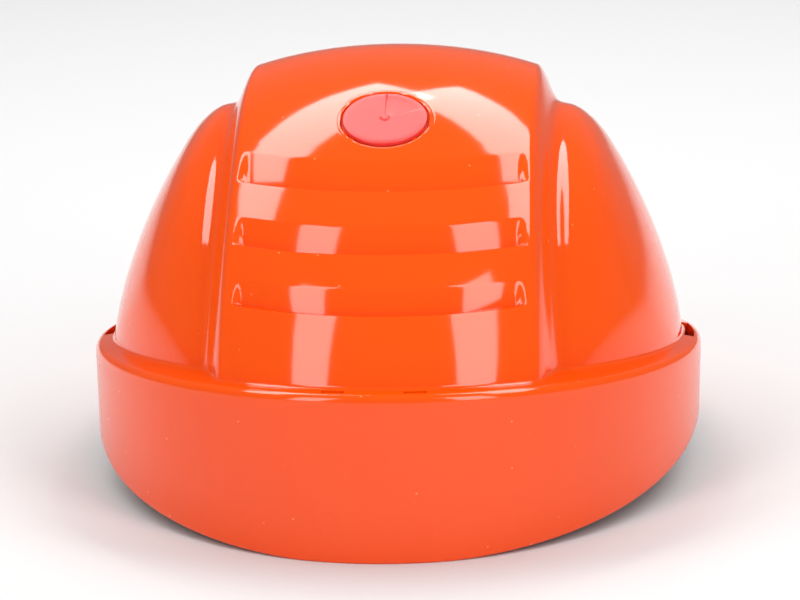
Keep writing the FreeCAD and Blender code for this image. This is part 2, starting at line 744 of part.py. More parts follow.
def gear_tooth_points(teeth, module, pitch_radius):
    """One side of an involute tooth, from root to tip, as (radius, half angle)."""
    base = pitch_radius * math.cos(TOOTH_SLANT)
    half_at_pitch = (math.pi * module / 2.0 - BACKLASH) / 2.0 / pitch_radius
    spread = lambda angle: math.tan(angle) - angle
    points = [(pitch_radius - TOOTH_SINK, half_at_pitch + spread(TOOTH_SLANT))]
    for step in range(5):
        radius = base + (pitch_radius + TOOTH_LIFT - base) * step / 4.0
        lean = math.acos(min(base / radius, 1.0))
        points.append((radius, half_at_pitch + spread(TOOTH_SLANT) - spread(lean)))
    return points


def make_pinion():
    """Ten-tooth pinion on the ratchet's shaft, turning about a line to the back."""
    height = size("nape_height")
    outline_points = []
    flank = gear_tooth_points(GEAR_TEETH, size("gear_module"), size("pinion_pitch_radius"))
    for tooth in range(GEAR_TEETH):
        centre = math.pi / 2.0 + 2.0 * math.pi * tooth / GEAR_TEETH
        for radius, half in flank:
            outline_points.append((radius, centre - half))
        for radius, half in reversed(flank):
            outline_points.append((radius, centre + half))
    corners = [Vector(radius * math.cos(angle), RACK_FRONT, height + radius * math.sin(angle))
               for radius, angle in outline_points]
    teeth = shaped("pinion_teeth", Part.Face(Part.makePolygon(corners + corners[:1])).extrude(
        Vector(0, RACK_BACK - RACK_FRONT, 0)))
    collar = bar_to_back("pinion_collar", "3.6", "0.35", Vector(0, RACK_BACK, height))
    shaft = bar_to_back("pinion_shaft", "2.5", "9", Vector(0, RACK_BACK, height))
    socket = bar_to_back("pinion_socket", "1.1", "7", Vector(0, RACK_BACK - 3.0, height))
    finished(cut("pinion_body", fused("pinion_joined", teeth, collar, shaft), socket), "pinion")


def make_racks():
    """Toothed tails of the headband: the left one runs over the pinion, the right one under."""
    pitch = math.pi * size("gear_module")
    back_height = 3.6
    for side, word in ((1, "left"), (-1, "right")):
        root = size("pinion_pitch_radius") + TOOTH_SINK
        profile = [(-side * 39.0, root + back_height), (-side * 39.0, root)]
        for tooth in range(-9, 4):
            middle = side * (tooth - 0.5) * pitch
            half_tip = (pitch / 2.0 - BACKLASH) / 2.0 - TOOTH_LIFT * math.tan(TOOTH_SLANT)
            half_root = (pitch / 2.0 - BACKLASH) / 2.0 + TOOTH_SINK * math.tan(TOOTH_SLANT)
            tip = size("pinion_pitch_radius") - TOOTH_LIFT
            profile.append((middle - side * half_root, root))
            profile.append((middle - side * half_tip, tip))
            profile.append((middle + side * half_tip, tip))
            profile.append((middle + side * half_root, root))
        profile.append((side * 11.0, root))
        profile.append((side * 11.0, root + back_height))
        corners = [Vector(across, RACK_FRONT, size("nape_height") + side * away)
                   for across, away in profile]
        face = Part.Face(Part.makePolygon(corners + corners[:1]))
        rack = shaped("rack_body", face.extrude(Vector(0, RACK_BACK - RACK_FRONT, 0)))
        finished(rack, "rack_" + word)


def make_housing():
    """Ratchet housing: a channel open at both sides, its rear cover and four screws."""
    height = size("nape_height")
    half_width, half_height = HOUSING["half_width"], HOUSING["half_height"]
    outer = box_between("housing_block", (-half_width, HOUSING["back"], height - half_height),
                        (half_width, HOUSING["front"], height + half_height))
    channel = box_between("housing_channel", (-half_width - 1, HOUSING["back"] - 1, height - 10.2),
                          (half_width + 1, -98.0, height + 10.2))
    bearing = bar_to_back("housing_bearing", "2.2", "1.6", Vector(0, -96.4, height))
    posts, pilots, heads = [], [], []
    for across in (-26.0, 26.0):
        for up in (-12.6, 12.6):
            base = Vector(across, HOUSING["front"] - 2.0, height + up)
            pilots.append(bar_to_back("pilot", "0.8", "10", base))
            shank = bar_to_back("screw_shank", "0.8", "6.5", base + Vector(0, -1.0, 0))
            head = bar_to_back("screw_head", "1.7", "1.2", Vector(across, COVER_BACK, height + up))
            drive = bar_to_back("screw_drive", "0.6", "1", Vector(across, COVER_BACK - 0.5, height + up))
            heads.append(cut("screw", fused("screw_joined", shank, head), drive))
    finished(cut("housing_body", outer, channel, *pilots), "ratchet_housing")
    plate = box_between("cover_plate", (-half_width, COVER_BACK, height - half_height),
                        (half_width, HOUSING["back"], height + half_height))
    hole = bar_to_back("cover_hole", "2.5 + Sizes.running_gap", "10", Vector(0, -100.0, height))
    holes = []
    for across in (-26.0, 26.0):
        for up in (-12.6, 12.6):
            holes.append(bar_to_back("cover_screw_hole", "0.8", "6", Vector(across, -101.0, height + up)))
    finished(cut("cover_body", plate, hole, *holes), "ratchet_cover")
    finished(fused("screws", *heads), "cover_screws")
    pad = box_between("pad_block", (-16.5, HOUSING["front"], height - 13.0),
                      (16.5, HOUSING["front"] + 4.5, height + 13.0))
    finished(pad, "nape_pad")


def make_knob():
    """Scalloped ratchet knob with a soft grip band, its shaft screw and the click spring."""
    height = size("nape_height")
    body = bar_to_back("knob_blank", "Sizes.knob_radius", "10", Vector(0, KNOB_FRONT, height))
    hollow = bar_to_back("knob_hollow", "Sizes.knob_radius - 2.6", "3.4", Vector(0, KNOB_FRONT, height))
    hub = bar_to_back("knob_hub", "4.2", "3.4", Vector(0, KNOB_FRONT, height))
    bore = bar_to_back("knob_bore", "2.5", "6", Vector(0, KNOB_FRONT + 1.0, height))
    sink = bar_to_back("knob_sink", "2.6", "5", Vector(0, KNOB_BACK + 2.0, height))
    way = bar_to_back("knob_way", "1.1", "12", Vector(0, KNOB_FRONT, height))
    scallops = []
    count = 12
    for number in range(count):
        angle = 2.0 * math.pi * number / count
        away = size("knob_radius") + 1.1
        scallops.append(bar_to_back("scallop", "2.2", "6.4", Vector(
            away * math.cos(angle), KNOB_BACK + 6.4 - 0.2, height + away * math.sin(angle))))
    ring = cut("knob_open", body, hollow)
    finished(cut("knob_body", fused("knob_joined", ring, hub), bore, sink, way, *scallops),
             "ratchet_knob")
    shank = bar_to_back("shaft_screw_shank", "1.1", "8", Vector(0, RACK_BACK - 3.0, height))
    head = bar_to_back("shaft_screw_head", "2.4", "1.4", Vector(0, KNOB_BACK + 2.0, height))
    drive = bar_to_back("shaft_screw_drive", "0.9", "1", Vector(0, KNOB_BACK + 1.2, height))
    finished(cut("shaft_screw_body", fused("shaft_screw_joined", shank, head), drive), "shaft_screw")
    leaf = Part.makeBox(11.0, 1.6, 0.6, Vector(-5.5, COVER_BACK - 2.0, height + 6.4))
    nose = Part.makeCylinder(0.8, 1.6, Vector(0, COVER_BACK - 0.4, height + 7.4), Vector(0, -1, 0))
    foot = Part.makeBox(1.6, 2.0, 2.4, Vector(-5.5, COVER_BACK - 2.0, height + 4.6))
    finished(shaped("spring_body", leaf.fuse([nose, foot]).removeSplitter()), "click_spring")


def export_all():
    """Check every object, then write each sub-part's shape."""
    middle = (size("rim_front") - size("rim_back")) / 2.0
    for thing in sub_parts:
        thing.Placement = FreeCAD.Placement(Vector(0, -middle, 0), FreeCAD.Rotation()) * thing.Placement
    doc.recompute()
    for thing in doc.Objects:
        if "Invalid" in thing.State or "Error" in thing.State:
            raise RuntimeError(f"{thing.Name} ({thing.Label}) failed: {thing.State}")
    for thing in sub_parts:
        if thing.Shape.isNull() or not thing.Shape.isValid():
            raise RuntimeError(f"{thing.Label} has no valid shape")
    os.makedirs("parts", exist_ok=True)
    for thing in sub_parts:
        thing.Shape.exportStep(f"parts/{thing.Label}.step")
        print(thing.Label, round(thing.Shape.Volume), len(thing.Shape.Solids))


make_shell()
make_indicator()
make_cradle()
make_clips()
make_headband()
make_pivots()
make_arms()
make_pinion()
make_racks()
make_housing()
make_knob()
export_all()
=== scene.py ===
"""Looks of the safety helmet: glossy moulded shell, age indicator, webbing cradle and padded harness."""
import json
import math

import bpy
import numpy as np
from mathutils import Matrix, Vector

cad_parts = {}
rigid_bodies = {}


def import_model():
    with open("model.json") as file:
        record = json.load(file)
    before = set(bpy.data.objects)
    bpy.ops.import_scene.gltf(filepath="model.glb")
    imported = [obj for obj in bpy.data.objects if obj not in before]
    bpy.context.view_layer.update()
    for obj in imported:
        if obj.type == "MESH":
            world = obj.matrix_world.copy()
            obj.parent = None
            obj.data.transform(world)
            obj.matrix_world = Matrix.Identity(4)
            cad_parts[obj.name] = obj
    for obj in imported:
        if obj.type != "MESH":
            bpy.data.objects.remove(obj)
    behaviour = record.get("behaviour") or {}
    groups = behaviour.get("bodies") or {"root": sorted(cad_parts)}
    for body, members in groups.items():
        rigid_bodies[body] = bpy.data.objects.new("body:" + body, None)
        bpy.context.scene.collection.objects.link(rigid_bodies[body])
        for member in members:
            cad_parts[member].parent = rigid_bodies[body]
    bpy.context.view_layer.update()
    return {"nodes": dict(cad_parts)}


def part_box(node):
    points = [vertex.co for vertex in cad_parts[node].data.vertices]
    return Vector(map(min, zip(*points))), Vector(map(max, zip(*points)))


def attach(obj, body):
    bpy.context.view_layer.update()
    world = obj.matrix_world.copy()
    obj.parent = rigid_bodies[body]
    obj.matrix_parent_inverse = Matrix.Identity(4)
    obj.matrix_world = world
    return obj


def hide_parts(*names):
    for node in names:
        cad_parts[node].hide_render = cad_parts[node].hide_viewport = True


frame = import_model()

MM = 0.001
nodes = frame["nodes"]


def deselect_all():
    """Leave nothing selected, so the next operator acts on its own piece only."""
    for thing in bpy.context.view_layer.objects:
        thing.select_set(False)


def select_only(piece):
    """Select and activate one piece, and nothing else."""
    deselect_all()
    piece.select_set(True)
    bpy.context.view_layer.objects.active = piece


deselect_all()

# ---------------------------------------------------------------- the shell's own measures, in millimetres

RIM_HALF, RIM_BACK, RIM_FRONT = 110.0, 137.0, 143.0
RIM_HEIGHT, RIM_SLOPE, PEAK_DROP = 43.7, 0.111, 16.0
EDGE, WALL, UNDER = 2.4, 2.8, 3.4
SKIRT_DRAFT, SKIRT_SLOPE, EAR_RISE = 0.5, 0.13, 17.0
LEDGE_RISE, LEDGE_REACH = 3.9, 22.0
CROWN_HALF, CROWN_BACK, CROWN_FRONT, CROWN_TOP = 103.0, 130.0, 116.0, 149.5
BAND_HALF, BAND_TAPER, BAND_FLANK, BAND_RISE = 56.5, 4.0, 7.5, 9.5
FAN = 20.0
DISC_RADIUS, DISC_GAP, DISC_HEIGHT, DISC_SINK = 14.7, 1.0, 137.3, 2.2
LOUVRE_HEIGHTS = (122.6, 104.8, 86.5)
LOUVRE_HALF, LOUVRE_TALL, LOUVRE_DEPTH, LOUVRE_SHELF = 50.0, 7.4, 2.6, 0.8
MIDDLE = (RIM_FRONT - RIM_BACK) / 2.0      # the frame's origin is this far in front of the widest section
FILLET = 1.0

# The crown's rule: the cheeks flare straight below one height and close above it, the band is wider,
# longer and squarer, and a small groove runs along the band's foot.
CHEEK_SHOULDER, CHEEK_FLARE, CHEEK_CLOSING, CHEEK_CURVE = 46.0, 0.16, 1.0985e-3, 1.42
CLOSING_FROM = 50.0
CHEEK_LENGTH, CHEEK_OVERSHOOT, CHEEK_LONG_CURVE, CHEEK_SQUARENESS = 0.94, 20.0, 2.6, 2.15
BAND_WIDENING, BAND_LENGTHENING, BAND_CURVE = 2.0, 1.046, 3.45
LID_BLEND = 5.0
GROOVE_ASIDE, GROOVE_SPREAD, GROOVE_DEPTH = 1.0, 3.0, 1.0
CORE = np.array([0.0, 0.0, 40.0])           # a point in the head space that the shell's faces surround
ACROSS = np.array([1.0, 0.0, 0.0])

STRAP_DIRECTIONS = (0, 48, 132)
STRAP_FOOT, CRADLE_TOP, STRAP_WIDTH, STRAP_CLEAR, STRAP_STEP = 60.0, 116.0, 20.0, 3.0, 2.6
LEVEL_HALF, OVER_ROWS = 54.0, 117           # the crown grid's level stretch, and its rows over the top


def smooth_step(value, low, high):
    """0 below low, 1 above high, and an S-shaped rise between them."""
    part = np.clip((value - low) / (high - low), 0.0, 1.0)
    return part * part * (3.0 - 2.0 * part)


def farthest(low, high, holds, steps=26):
    """Bisect each element for the last value between low and high at which the test still holds."""
    for _ in range(steps):
        middle = (low + high) / 2.0
        good = holds(middle)
        low, high = np.where(good, middle, low), np.where(good, high, middle)
    return low


def cheek_half_width(height):
    """Half the shell's width at a height, beside the raised band."""
    closing = CHEEK_CLOSING * np.maximum(height - CHEEK_SHOULDER, 0.0) ** CHEEK_CURVE
    narrowed = CROWN_HALF * np.sqrt(np.maximum(0.0, 1.0 - closing))
    return np.where(height < CHEEK_SHOULDER, CROWN_HALF + CHEEK_FLARE * (CHEEK_SHOULDER - height), narrowed)


def closing_length(height, base, top, power):
    """A half length that shrinks from base to nothing at the top."""
    part = np.maximum(height - CLOSING_FROM, 0.0) / (top - CLOSING_FROM)
    return base * np.sqrt(np.maximum(0.0, 1.0 - part ** power))


def crown_length(along):
    """The crown's reach behind or ahead of its widest section."""
    return np.where(along < 0, CROWN_BACK, CROWN_FRONT)


def in_band(across, along, up):
    """Whether points are inside the raised band's own dome."""
    wide = closing_length(up, CROWN_HALF + BAND_WIDENING, CROWN_TOP, BAND_CURVE)
    part = np.maximum(up - FAN, 0.0) / (CROWN_TOP - FAN)
    long = BAND_LENGTHENING * crown_length(along) * np.sqrt(np.maximum(0.0, 1.0 - part * part))
    wide, long = np.maximum(wide, 1e-3), np.maximum(long, 1e-3)
    return (np.minimum(wide, long) > 0.01) & ((across / wide) ** 2 + (along / long) ** 2 < 1.0)


def in_cheek(across, along, up):
    """Whether points are inside the lower dome on either side of the band."""
    wide = np.maximum(cheek_half_width(up), 1e-3)
    top = CROWN_TOP + CHEEK_OVERSHOOT
    long = CHEEK_LENGTH * closing_length(up, crown_length(along), top, CHEEK_LONG_CURVE)
    long = np.maximum(long, 1e-3)
    inside = (np.abs(across) / wide) ** CHEEK_SQUARENESS + (np.abs(along) / long) ** CHEEK_SQUARENESS < 1.0
    return (np.minimum(wide, long) > 0.01) & inside


def fan_radius(turn, across, inside_test):
    """How far a dome reaches from the fan line, which runs from side to side at height FAN."""
    def holds(radius):
        return inside_test(across, -radius * np.cos(turn), FAN + radius * np.sin(turn))
    return farthest(np.zeros_like(turn), np.full_like(turn, 220.0), holds)


def taper_shift(turn, station):
    """How much wider the band stands low down at the back and front than over the top."""
    out = 0.5 - smooth_step(np.sin(turn), 0.1, 0.95)
    near_band = smooth_step(station, 0.0, 46.0) * (1.0 - smooth_step(station, 66.0, 88.0))
    return BAND_TAPER * out * near_band


def crown_radius(turn, across):
    """Distance from the fan line to the crown's outer surface."""
    station = np.abs(across)
    for _ in range(5):
        station = np.abs(across) - taper_shift(turn, station)
    band = fan_radius(turn, across, in_band)
    cheek_raw, lid = fan_radius(turn, across, in_cheek), band - BAND_RISE
    part = np.maximum(LID_BLEND - np.abs(cheek_raw - lid), 0.0) / LID_BLEND
    cheek = np.minimum(cheek_raw, lid) - part * part * LID_BLEND / 4.0
    rise = 1.0 - smooth_step(station, BAND_HALF - BAND_FLANK / 2, BAND_HALF + BAND_FLANK / 2)
    from_flank = station - BAND_HALF - BAND_FLANK / 2 - GROOVE_ASIDE
    groove = GROOVE_DEPTH * np.exp(-(from_flank / GROOVE_SPREAD) ** 2)
    return cheek - groove + rise * (band - cheek)


def in_crown(across, along, up):
    """Whether points are inside the crown's outer surface."""
    turn = np.arctan2(up - FAN, -along)
    return np.hypot(along, up - FAN) < crown_radius(turn, across)


def crown_surface(turn, across):
    """Points on the crown's outer surface; turn runs from the back, over the top, to the front."""
    radius = crown_radius(turn, across)
    return np.stack([across, -radius * np.cos(turn), FAN + radius * np.sin(turn)], -1)


def ledge_height(along):
    """Height of the shell's edge, falling towards the front and drooping at the peak."""
    droop = PEAK_DROP * (np.maximum(along, 0.0) / RIM_FRONT) ** 2.2
    return RIM_HEIGHT - RIM_SLOPE * along - droop


def skirt_height(along):
    """Height of the skirt's lower edge: on the table at the back, arched over the ears."""
    rise = np.minimum(SKIRT_SLOPE * (along + RIM_BACK), EAR_RISE)
    return np.maximum(rise * (1.0 - smooth_step(along, 20.0, 132.0)) - 0.5, 0.0)


# ---------------------------------------------------------------- meshes

def mesh_piece(name, points_mm, faces, material, shifted=True, angle=35.0):
    """A piece from points in millimetres, put in the row frame and shaded smooth."""
    points = np.asarray(points_mm, float) * MM
    if shifted:
        points = points - np.array([0.0, MIDDLE * MM, 0.0])
    mesh = bpy.data.meshes.new(name)
    mesh.from_pydata(points.tolist(), [], [list(face) for face in faces])
    mesh.validate()
    piece = bpy.data.objects.new(name, mesh)
    bpy.context.scene.collection.objects.link(piece)
    mesh.materials.append(material)
    select_only(piece)
    bpy.ops.object.shade_smooth_by_angle(angle=math.radians(angle))
    piece.select_set(False)
    return piece


def grid_faces(rows, columns, first=0, closed=False, flip=False):
    """Four-cornered faces over a grid of points laid out row by row."""
    faces = []
    for i in range(rows - 1):
        for j in range(columns if closed else columns - 1):
            k = (j + 1) % columns
            quad = (first + i * columns + j, first + i * columns + k,
                    first + (i + 1) * columns + k, first + (i + 1) * columns + j)
            faces.append(quad[::-1] if flip else quad)
    return faces


def stations():
    """Columns over the crown: close over the louvre ends and the band's flank, then by height."""
    half = list(np.arange(0.0, 43.0, 2.6)) + list(np.arange(43.5, 52.5, 0.75))
    half += list(np.arange(52.6, 65.0, 0.62)) + [66.2, 67.8]
    side = [float(cheek_half_width(np.float64(height))) for height in np.arange(126.0, 25.0, -2.6)]
    half += [value for value in side if value > 69.2]
    return np.array([-value for value in half[:0:-1]] + half)


def back_heights():
    """Heights of the rows up the back: close at each louvre's two edges."""
    rows = list(np.arange(24.0, 131.0, 2.2))
    for middle in LOUVRE_HEIGHTS:
        top, low = middle + LOUVRE_TALL / 2, middle - LOUVRE_TALL / 2
        rows = [row for row in rows if not low - 2.4 < row < top + 1.6]
        rows += [top + 1.2, top + 0.5, top + 0.15, top - 0.15, top - 0.6, top - 1.6, top - 2.9, top - 4.2,
                 top - 5.5, low + 0.7, low + 0.3, low + 0.08, low - 0.08, low - 0.3, low - 0.55,
                 low - LOUVRE_SHELF, low - LOUVRE_SHELF - 0.25, low - 1.7]
    return np.array(sorted(rows))


def turn_at_height(across, height):
    """Where the crown's back passes through a height."""
    def holds(turn):
        return FAN + crown_radius(turn, across) * np.sin(turn) < height
    return farthest(np.zeros_like(across), np.full_like(across, math.pi / 2), holds, steps=24)


def outward_normals(points):
    """Unit normals of a grid of points, turned away from the fan line's middle."""
    normal = np.cross(np.gradient(points, axis=1), np.gradient(points, axis=0))
    normal /= np.linalg.norm(normal, axis=-1, keepdims=True) + 1e-9
    outward = np.sum(normal * (points - np.array([0.0, 0.0, FAN])), -1, keepdims=True)
    return np.where(outward < 0, -normal, normal)


def crown_grid():
    """The crown's outside, with the louvres pressed in; its rows are level over the louvres."""
    across = stations()
    held = np.minimum(np.abs(across), LEVEL_HALF)
    half_columns = np.unique(held)
    heights = back_heights()
    grid_x, grid_z = np.meshgrid(half_columns, heights)
    solved = turn_at_height(grid_x, grid_z)
    column = np.searchsorted(half_columns, held)
    back = solved[:, column]
    last = back[-1]
    start = solved[-1, 0]
    turns = np.linspace(start, math.pi, OVER_ROWS + 1)[1:]
    shift = (last - start)[None, :] * (1.0 - smooth_step(turns, start, start + 0.5))[:, None]
    turns = np.concatenate([back, turns[:, None] + shift], 0)
    points = crown_surface(turns, np.broadcast_to(across, turns.shape).copy())
    depth = np.zeros(points.shape[:2])
    height, side = points[..., 2], np.abs(points[..., 0])
    behind = points[..., 1] < 0
    for middle in LOUVRE_HEIGHTS:
        top, low = middle + LOUVRE_TALL / 2, middle - LOUVRE_TALL / 2
        ramp = np.clip((top - height) / LOUVRE_TALL, 0.0, 1.0)
        shelf = 1.0 - np.clip((low - height) / LOUVRE_SHELF, 0.0, 1.0)
        ends = smooth_step(LOUVRE_HALF - side - 1.2 * (1.0 - ramp) ** 2, 0.0, 2.2)
        depth += np.where(behind, LOUVRE_DEPTH * ramp * shelf * ends, 0.0)
    return points - outward_normals(points) * depth[..., None]


def disc_seat():
    """Middle of the indicator, its outward direction and its upward direction along the surface."""
    def at(height):
        zero = np.zeros(1)
        return crown_surface(turn_at_height(zero, np.array([height])), zero)[0]
    reach = DISC_RADIUS * 0.3
    above, below = at(DISC_HEIGHT + reach), at(DISC_HEIGHT - reach)
    upward = (above - below) / np.linalg.norm(above - below)
    outward = np.cross(ACROSS, upward)
    return at(DISC_HEIGHT), outward / np.linalg.norm(outward), upward


def surface_lift(base, outward):
    """How far along outward each base point is from the crown's surface."""
    def holds(lift):
        return in_crown(*(base + outward * lift[:, None]).T)
    return farthest(np.full(len(base), -14.0), np.full(len(base), 14.0), holds, steps=24)


def recess_patch():
    """The round recess under the indicator: lip, wall and floor on the crown's true surface."""
    centre, outward, upward = disc_seat()
    count = 128
    angles = np.linspace(0.0, 2 * math.pi, count + 1)[:-1]
    radius, corner = DISC_RADIUS + DISC_GAP, 0.25
    lip = [(2.4, -0.08), (1.6, 0.02), (0.9, 0.015), (0.45, -0.06), (0.15, -0.22), (0.0, -0.5)]
    floor = [(0.0, corner - DISC_SINK), (-corner, -DISC_SINK), (-radius * 0.5, -DISC_SINK)]

    around = np.cos(angles)[:, None] * ACROSS + np.sin(angles)[:, None] * upward

    def ring(grow):
        return centre + (radius + grow) * around

    rows = []
    for grow, sink in lip:
        rows.append(ring(grow) + outward * (surface_lift(ring(grow), outward) + sink)[:, None])
    for grow, lift in floor:
        rows.append(ring(grow) + outward * lift)
    faces = grid_faces(len(rows), count, closed=True)
    last, hub = (len(rows) - 1) * count, len(rows) * count
    faces += [(last + j, last + (j + 1) % count, hub) for j in range(count)]
    return np.vstack(rows + [centre - outward * DISC_SINK]), faces


def rim_turns():
    """Columns round the rim, with one at each slot's end."""
    turns = list(np.radians(np.arange(0.0, 360.0, 1.25)))
    ends = []
    for across, low, high in ((106.1, -7.0, 29.0), (-106.1, 29.0, -7.0)):
        ends.append([math.atan2(along / (RIM_FRONT if along > 0 else RIM_BACK), across / RIM_HALF)
                     % (2 * math.pi) for along in (low, high)])
    for across in (-14.0, 14.0):
        ends.append([math.atan2(-132.0 / RIM_BACK, (across + step) / RIM_HALF) % (2 * math.pi)
                     for step in (-4.0, 4.0)])
    for pair in ends:
        turns = [turn for turn in turns if min(abs(turn - end) for end in pair) > 0.006]
        turns += pair
    return np.array(sorted(turns)), ends


def shell_ring():
    """Fillet, ledge, rounded edge, skirt, and the inside back up to the crown, as one loft."""
    turns, slot_ends = rim_turns()
    length = np.where(np.sin(turns) > 0, RIM_FRONT, RIM_BACK)
    rim = np.stack([RIM_HALF * np.cos(turns), length * np.sin(turns)], -1)
    inward = -rim / np.linalg.norm(rim, axis=-1, keepdims=True)
    along = rim[:, 1]
    edge_top = ledge_height(along) + 0.3
    reach = np.where(along > 0, LEDGE_REACH + 20.0 * np.sin(turns) ** 2, LEDGE_REACH)
    inner_top = RIM_HEIGHT - RIM_SLOPE * along * 0.8 + LEDGE_RISE

    def ledge_top(inset):
        """Height of the ledge's top, some way in from the rim."""
        return edge_top + (inner_top - edge_top) * (inset - EDGE) / (reach - EDGE)

    def wall_inset(rise):
        """How far in from the rim the crown's wall stands, at some rise over the ledge."""
        def holds(inset):
            spot = rim + inward * inset[:, None]
            return ~in_crown(spot[:, 0], spot[:, 1], ledge_top(inset) + rise)
        return farthest(np.zeros(len(turns)), np.full(len(turns), 60.0), holds)

    def row(inset, height):
        spot = rim + inward * np.broadcast_to(inset, turns.shape)[:, None]
        return np.column_stack([spot, np.broadcast_to(height, turns.shape)])

    foot = wall_inset(0.0)
    rows = [row(wall_inset(4.0) + 0.25, ledge_top(foot) + 4.0)]
    for step in range(5):
        lean = math.pi / 2 * step / 4
        inset = wall_inset(FILLET * (1 - math.sin(lean))) - FILLET * (1 - math.cos(lean))
        rows.append(row(inset, ledge_top(inset) + FILLET * (1 - math.sin(lean))))
    flat_in = foot - FILLET
    ledge_first = len(rows) - 1
    fractions = (0.2, 0.5, 0.8, 1.0)
    for part in fractions:
        inset = flat_in + (EDGE - flat_in) * part
        rows.append(row(inset, ledge_top(inset)))
    ledge_last = len(rows) - 1
    for step in range(1, 7):
        lean = math.pi / 2 * step / 6
        rows.append(row(EDGE * (1 - math.sin(lean)), edge_top - 2.7 * (1 - math.cos(lean))))
    low_edge = skirt_height(along)
    for part in np.linspace(0.0, 1.0, 13)[1:]:
        top = edge_top - 2.7
        rows.append(row(SKIRT_DRAFT * part, top + (low_edge + 0.7 - top) * part))
    for step in range(1, 4):
        lean = math.pi / 2 * step / 3
        rows.append(row(SKIRT_DRAFT + 0.7 * (1 - math.cos(lean)), low_edge + 0.7 * (1 - math.sin(lean))))
    rows.append(row(SKIRT_DRAFT + WALL - 0.5, low_edge))
    rows.append(row(SKIRT_DRAFT + WALL, low_edge + 0.5))
    under = edge_top - UNDER
    for part in (0.35, 0.7, 0.95, 1.0):
        rows.append(row(WALL, low_edge + (under - low_edge) * part))
    for part in fractions[-2::-1] + (0.0,):
        inset = flat_in + (WALL - flat_in) * part
        rows.append(row(inset, ledge_top(inset) - UNDER))
    under_last = len(rows) - 1
    for rise in (0.0, 3.0, 6.0, 9.0, 12.0):
        rows.append(row(wall_inset(rise - UNDER) + WALL, ledge_top(foot) - UNDER + rise))
    points = np.concatenate(rows)
    columns = len(turns)
    skip, walls = set(), []

    def mirror(r):
        return under_last - (r - ledge_first)

    def at(r, j):
        return r * columns + j % columns

    def open_slot(first, last, top_low, top_high):
        """Leave the slot's cells out of the ledge's top and underside, and wall it all round."""
        cells = [(first + step) % columns for step in range((last - first) % columns)]
        for r in range(top_low, top_high):
            for j in cells:
                skip.add((r, j))
                skip.add((mirror(r) - 1, j))
        for j in cells:
            k = j + 1
            walls.append((at(top_low, j), at(mirror(top_low), j), at(mirror(top_low), k), at(top_low, k)))
            walls.append((at(top_high, k), at(mirror(top_high), k), at(mirror(top_high), j), at(top_high, j)))
        for r in range(top_low, top_high):
            walls.append((at(r + 1, first), at(mirror(r + 1), first), at(mirror(r), first), at(r, first)))
            walls.append((at(r, last), at(mirror(r), last), at(mirror(r + 1), last), at(r + 1, last)))

    for number, pair in enumerate(slot_ends):
        first, last = [int(np.argmin(np.abs(turns - end))) for end in pair]
        if number < 2:
            open_slot(first, last, ledge_first, ledge_last)
        else:
            open_slot(first, last, ledge_first + 1, ledge_first + 3)
    faces = []
    for i in range(len(rows) - 1):
        for j in range(columns):
            if (i, j) in skip:
                continue
            k = (j + 1) % columns
            faces.append((i * columns + j, (i + 1) * columns + j, (i + 1) * columns + k, i * columns + k))
    return points, faces + walls


def inner_crown():
    """The crown's inside, one wall in from its outside, down to the skirt's inner wall."""
    across = np.linspace(-1, 1, 61)
    across = np.sin(across * math.pi / 2) * 103.0
    turns = np.linspace(0.0, math.pi, 81)
    grid_turn, grid_across = np.meshgrid(turns, across, indexing="ij")
    points = crown_surface(grid_turn, grid_across)
    return points - outward_normals(points) * WALL


def turned_out(points, faces, sign):
    """Turn faces so most of them look away from the core, or towards it when sign is negative."""
    corners = points[np.array(faces)]
    facing = np.cross(corners[:, 1] - corners[:, 0], corners[:, 2] - corners[:, 0]) * (corners[:, 0] - CORE)
    if np.sum(np.sign(facing.sum(1))) * sign < 0:
        return [face[::-1] for face in faces]
    return faces


def kept(points, faces, choose):
    """The faces whose middles the rule keeps."""
    good = choose(points[np.array(faces)].mean(1))
    return [face for face, stays in zip(faces, good) if stays]


def make_shell(material):
    """One mesh: outer crown with louvres and recess, ledge and skirt, and the inside."""
    centre, outward, _ = disc_seat()

    def over_rim(middles):
        return middles[:, 2] - (RIM_HEIGHT - RIM_SLOPE * middles[:, 1])

    def shows_outside(middles):
        offset = middles - centre
        away = np.linalg.norm(offset - np.outer(offset @ outward, outward), axis=1)
        recess = (away < DISC_RADIUS + DISC_GAP + 1.0) & (np.abs(offset @ outward) < 10.0)
        buried = over_rim(middles) < -1.0 - 6.0 * (middles[:, 1] > 60.0)
        return ~(recess | buried)

    skins = []
    for grid, choose, sign in ((crown_grid(), shows_outside, 1),
                               (inner_crown(), lambda middles: over_rim(middles) > 6.0, -1)):
        points = grid.reshape(-1, 3)
        faces = kept(points, grid_faces(*grid.shape[:2]), choose)
        skins.append((points, turned_out(points, faces, sign)))
    skins[1:1] = [recess_patch(), shell_ring()]
    every, count = [], 0
    for points, faces in skins:
        every += [tuple(index + count for index in face) for face in faces]
        count += len(points)
    shell = mesh_piece("moulded_shell", np.concatenate([points for points, _ in skins]), every, material)
    select_only(shell)
    bpy.ops.object.mode_set(mode="EDIT")
    bpy.ops.mesh.select_all(action="SELECT")
    bpy.ops.mesh.delete_loose()
    bpy.ops.object.mode_set(mode="OBJECT")
    shell.select_set(False)
    return shell


# ---------------------------------------------------------------- node groups

def new_group(name, inputs, outputs):
    """An empty shader group with named inputs and outputs."""
    group = bpy.data.node_groups.new(name, "ShaderNodeTree")
    for label, kind, value in inputs:
        socket = group.interface.new_socket(label, in_out="INPUT", socket_type=kind)
        if value is not None:
            socket.default_value = value
    for label, kind in outputs:
        group.interface.new_socket(label, in_out="OUTPUT", socket_type=kind)
    return group, group.nodes.new("NodeGroupInput"), group.nodes.new("NodeGroupOutput")


def node(tree, kind, **values):
    """A new node with some of its settings changed."""
    made = tree.nodes.new(kind)
    for name, value in values.items():
        setattr(made, name, value)
    return made


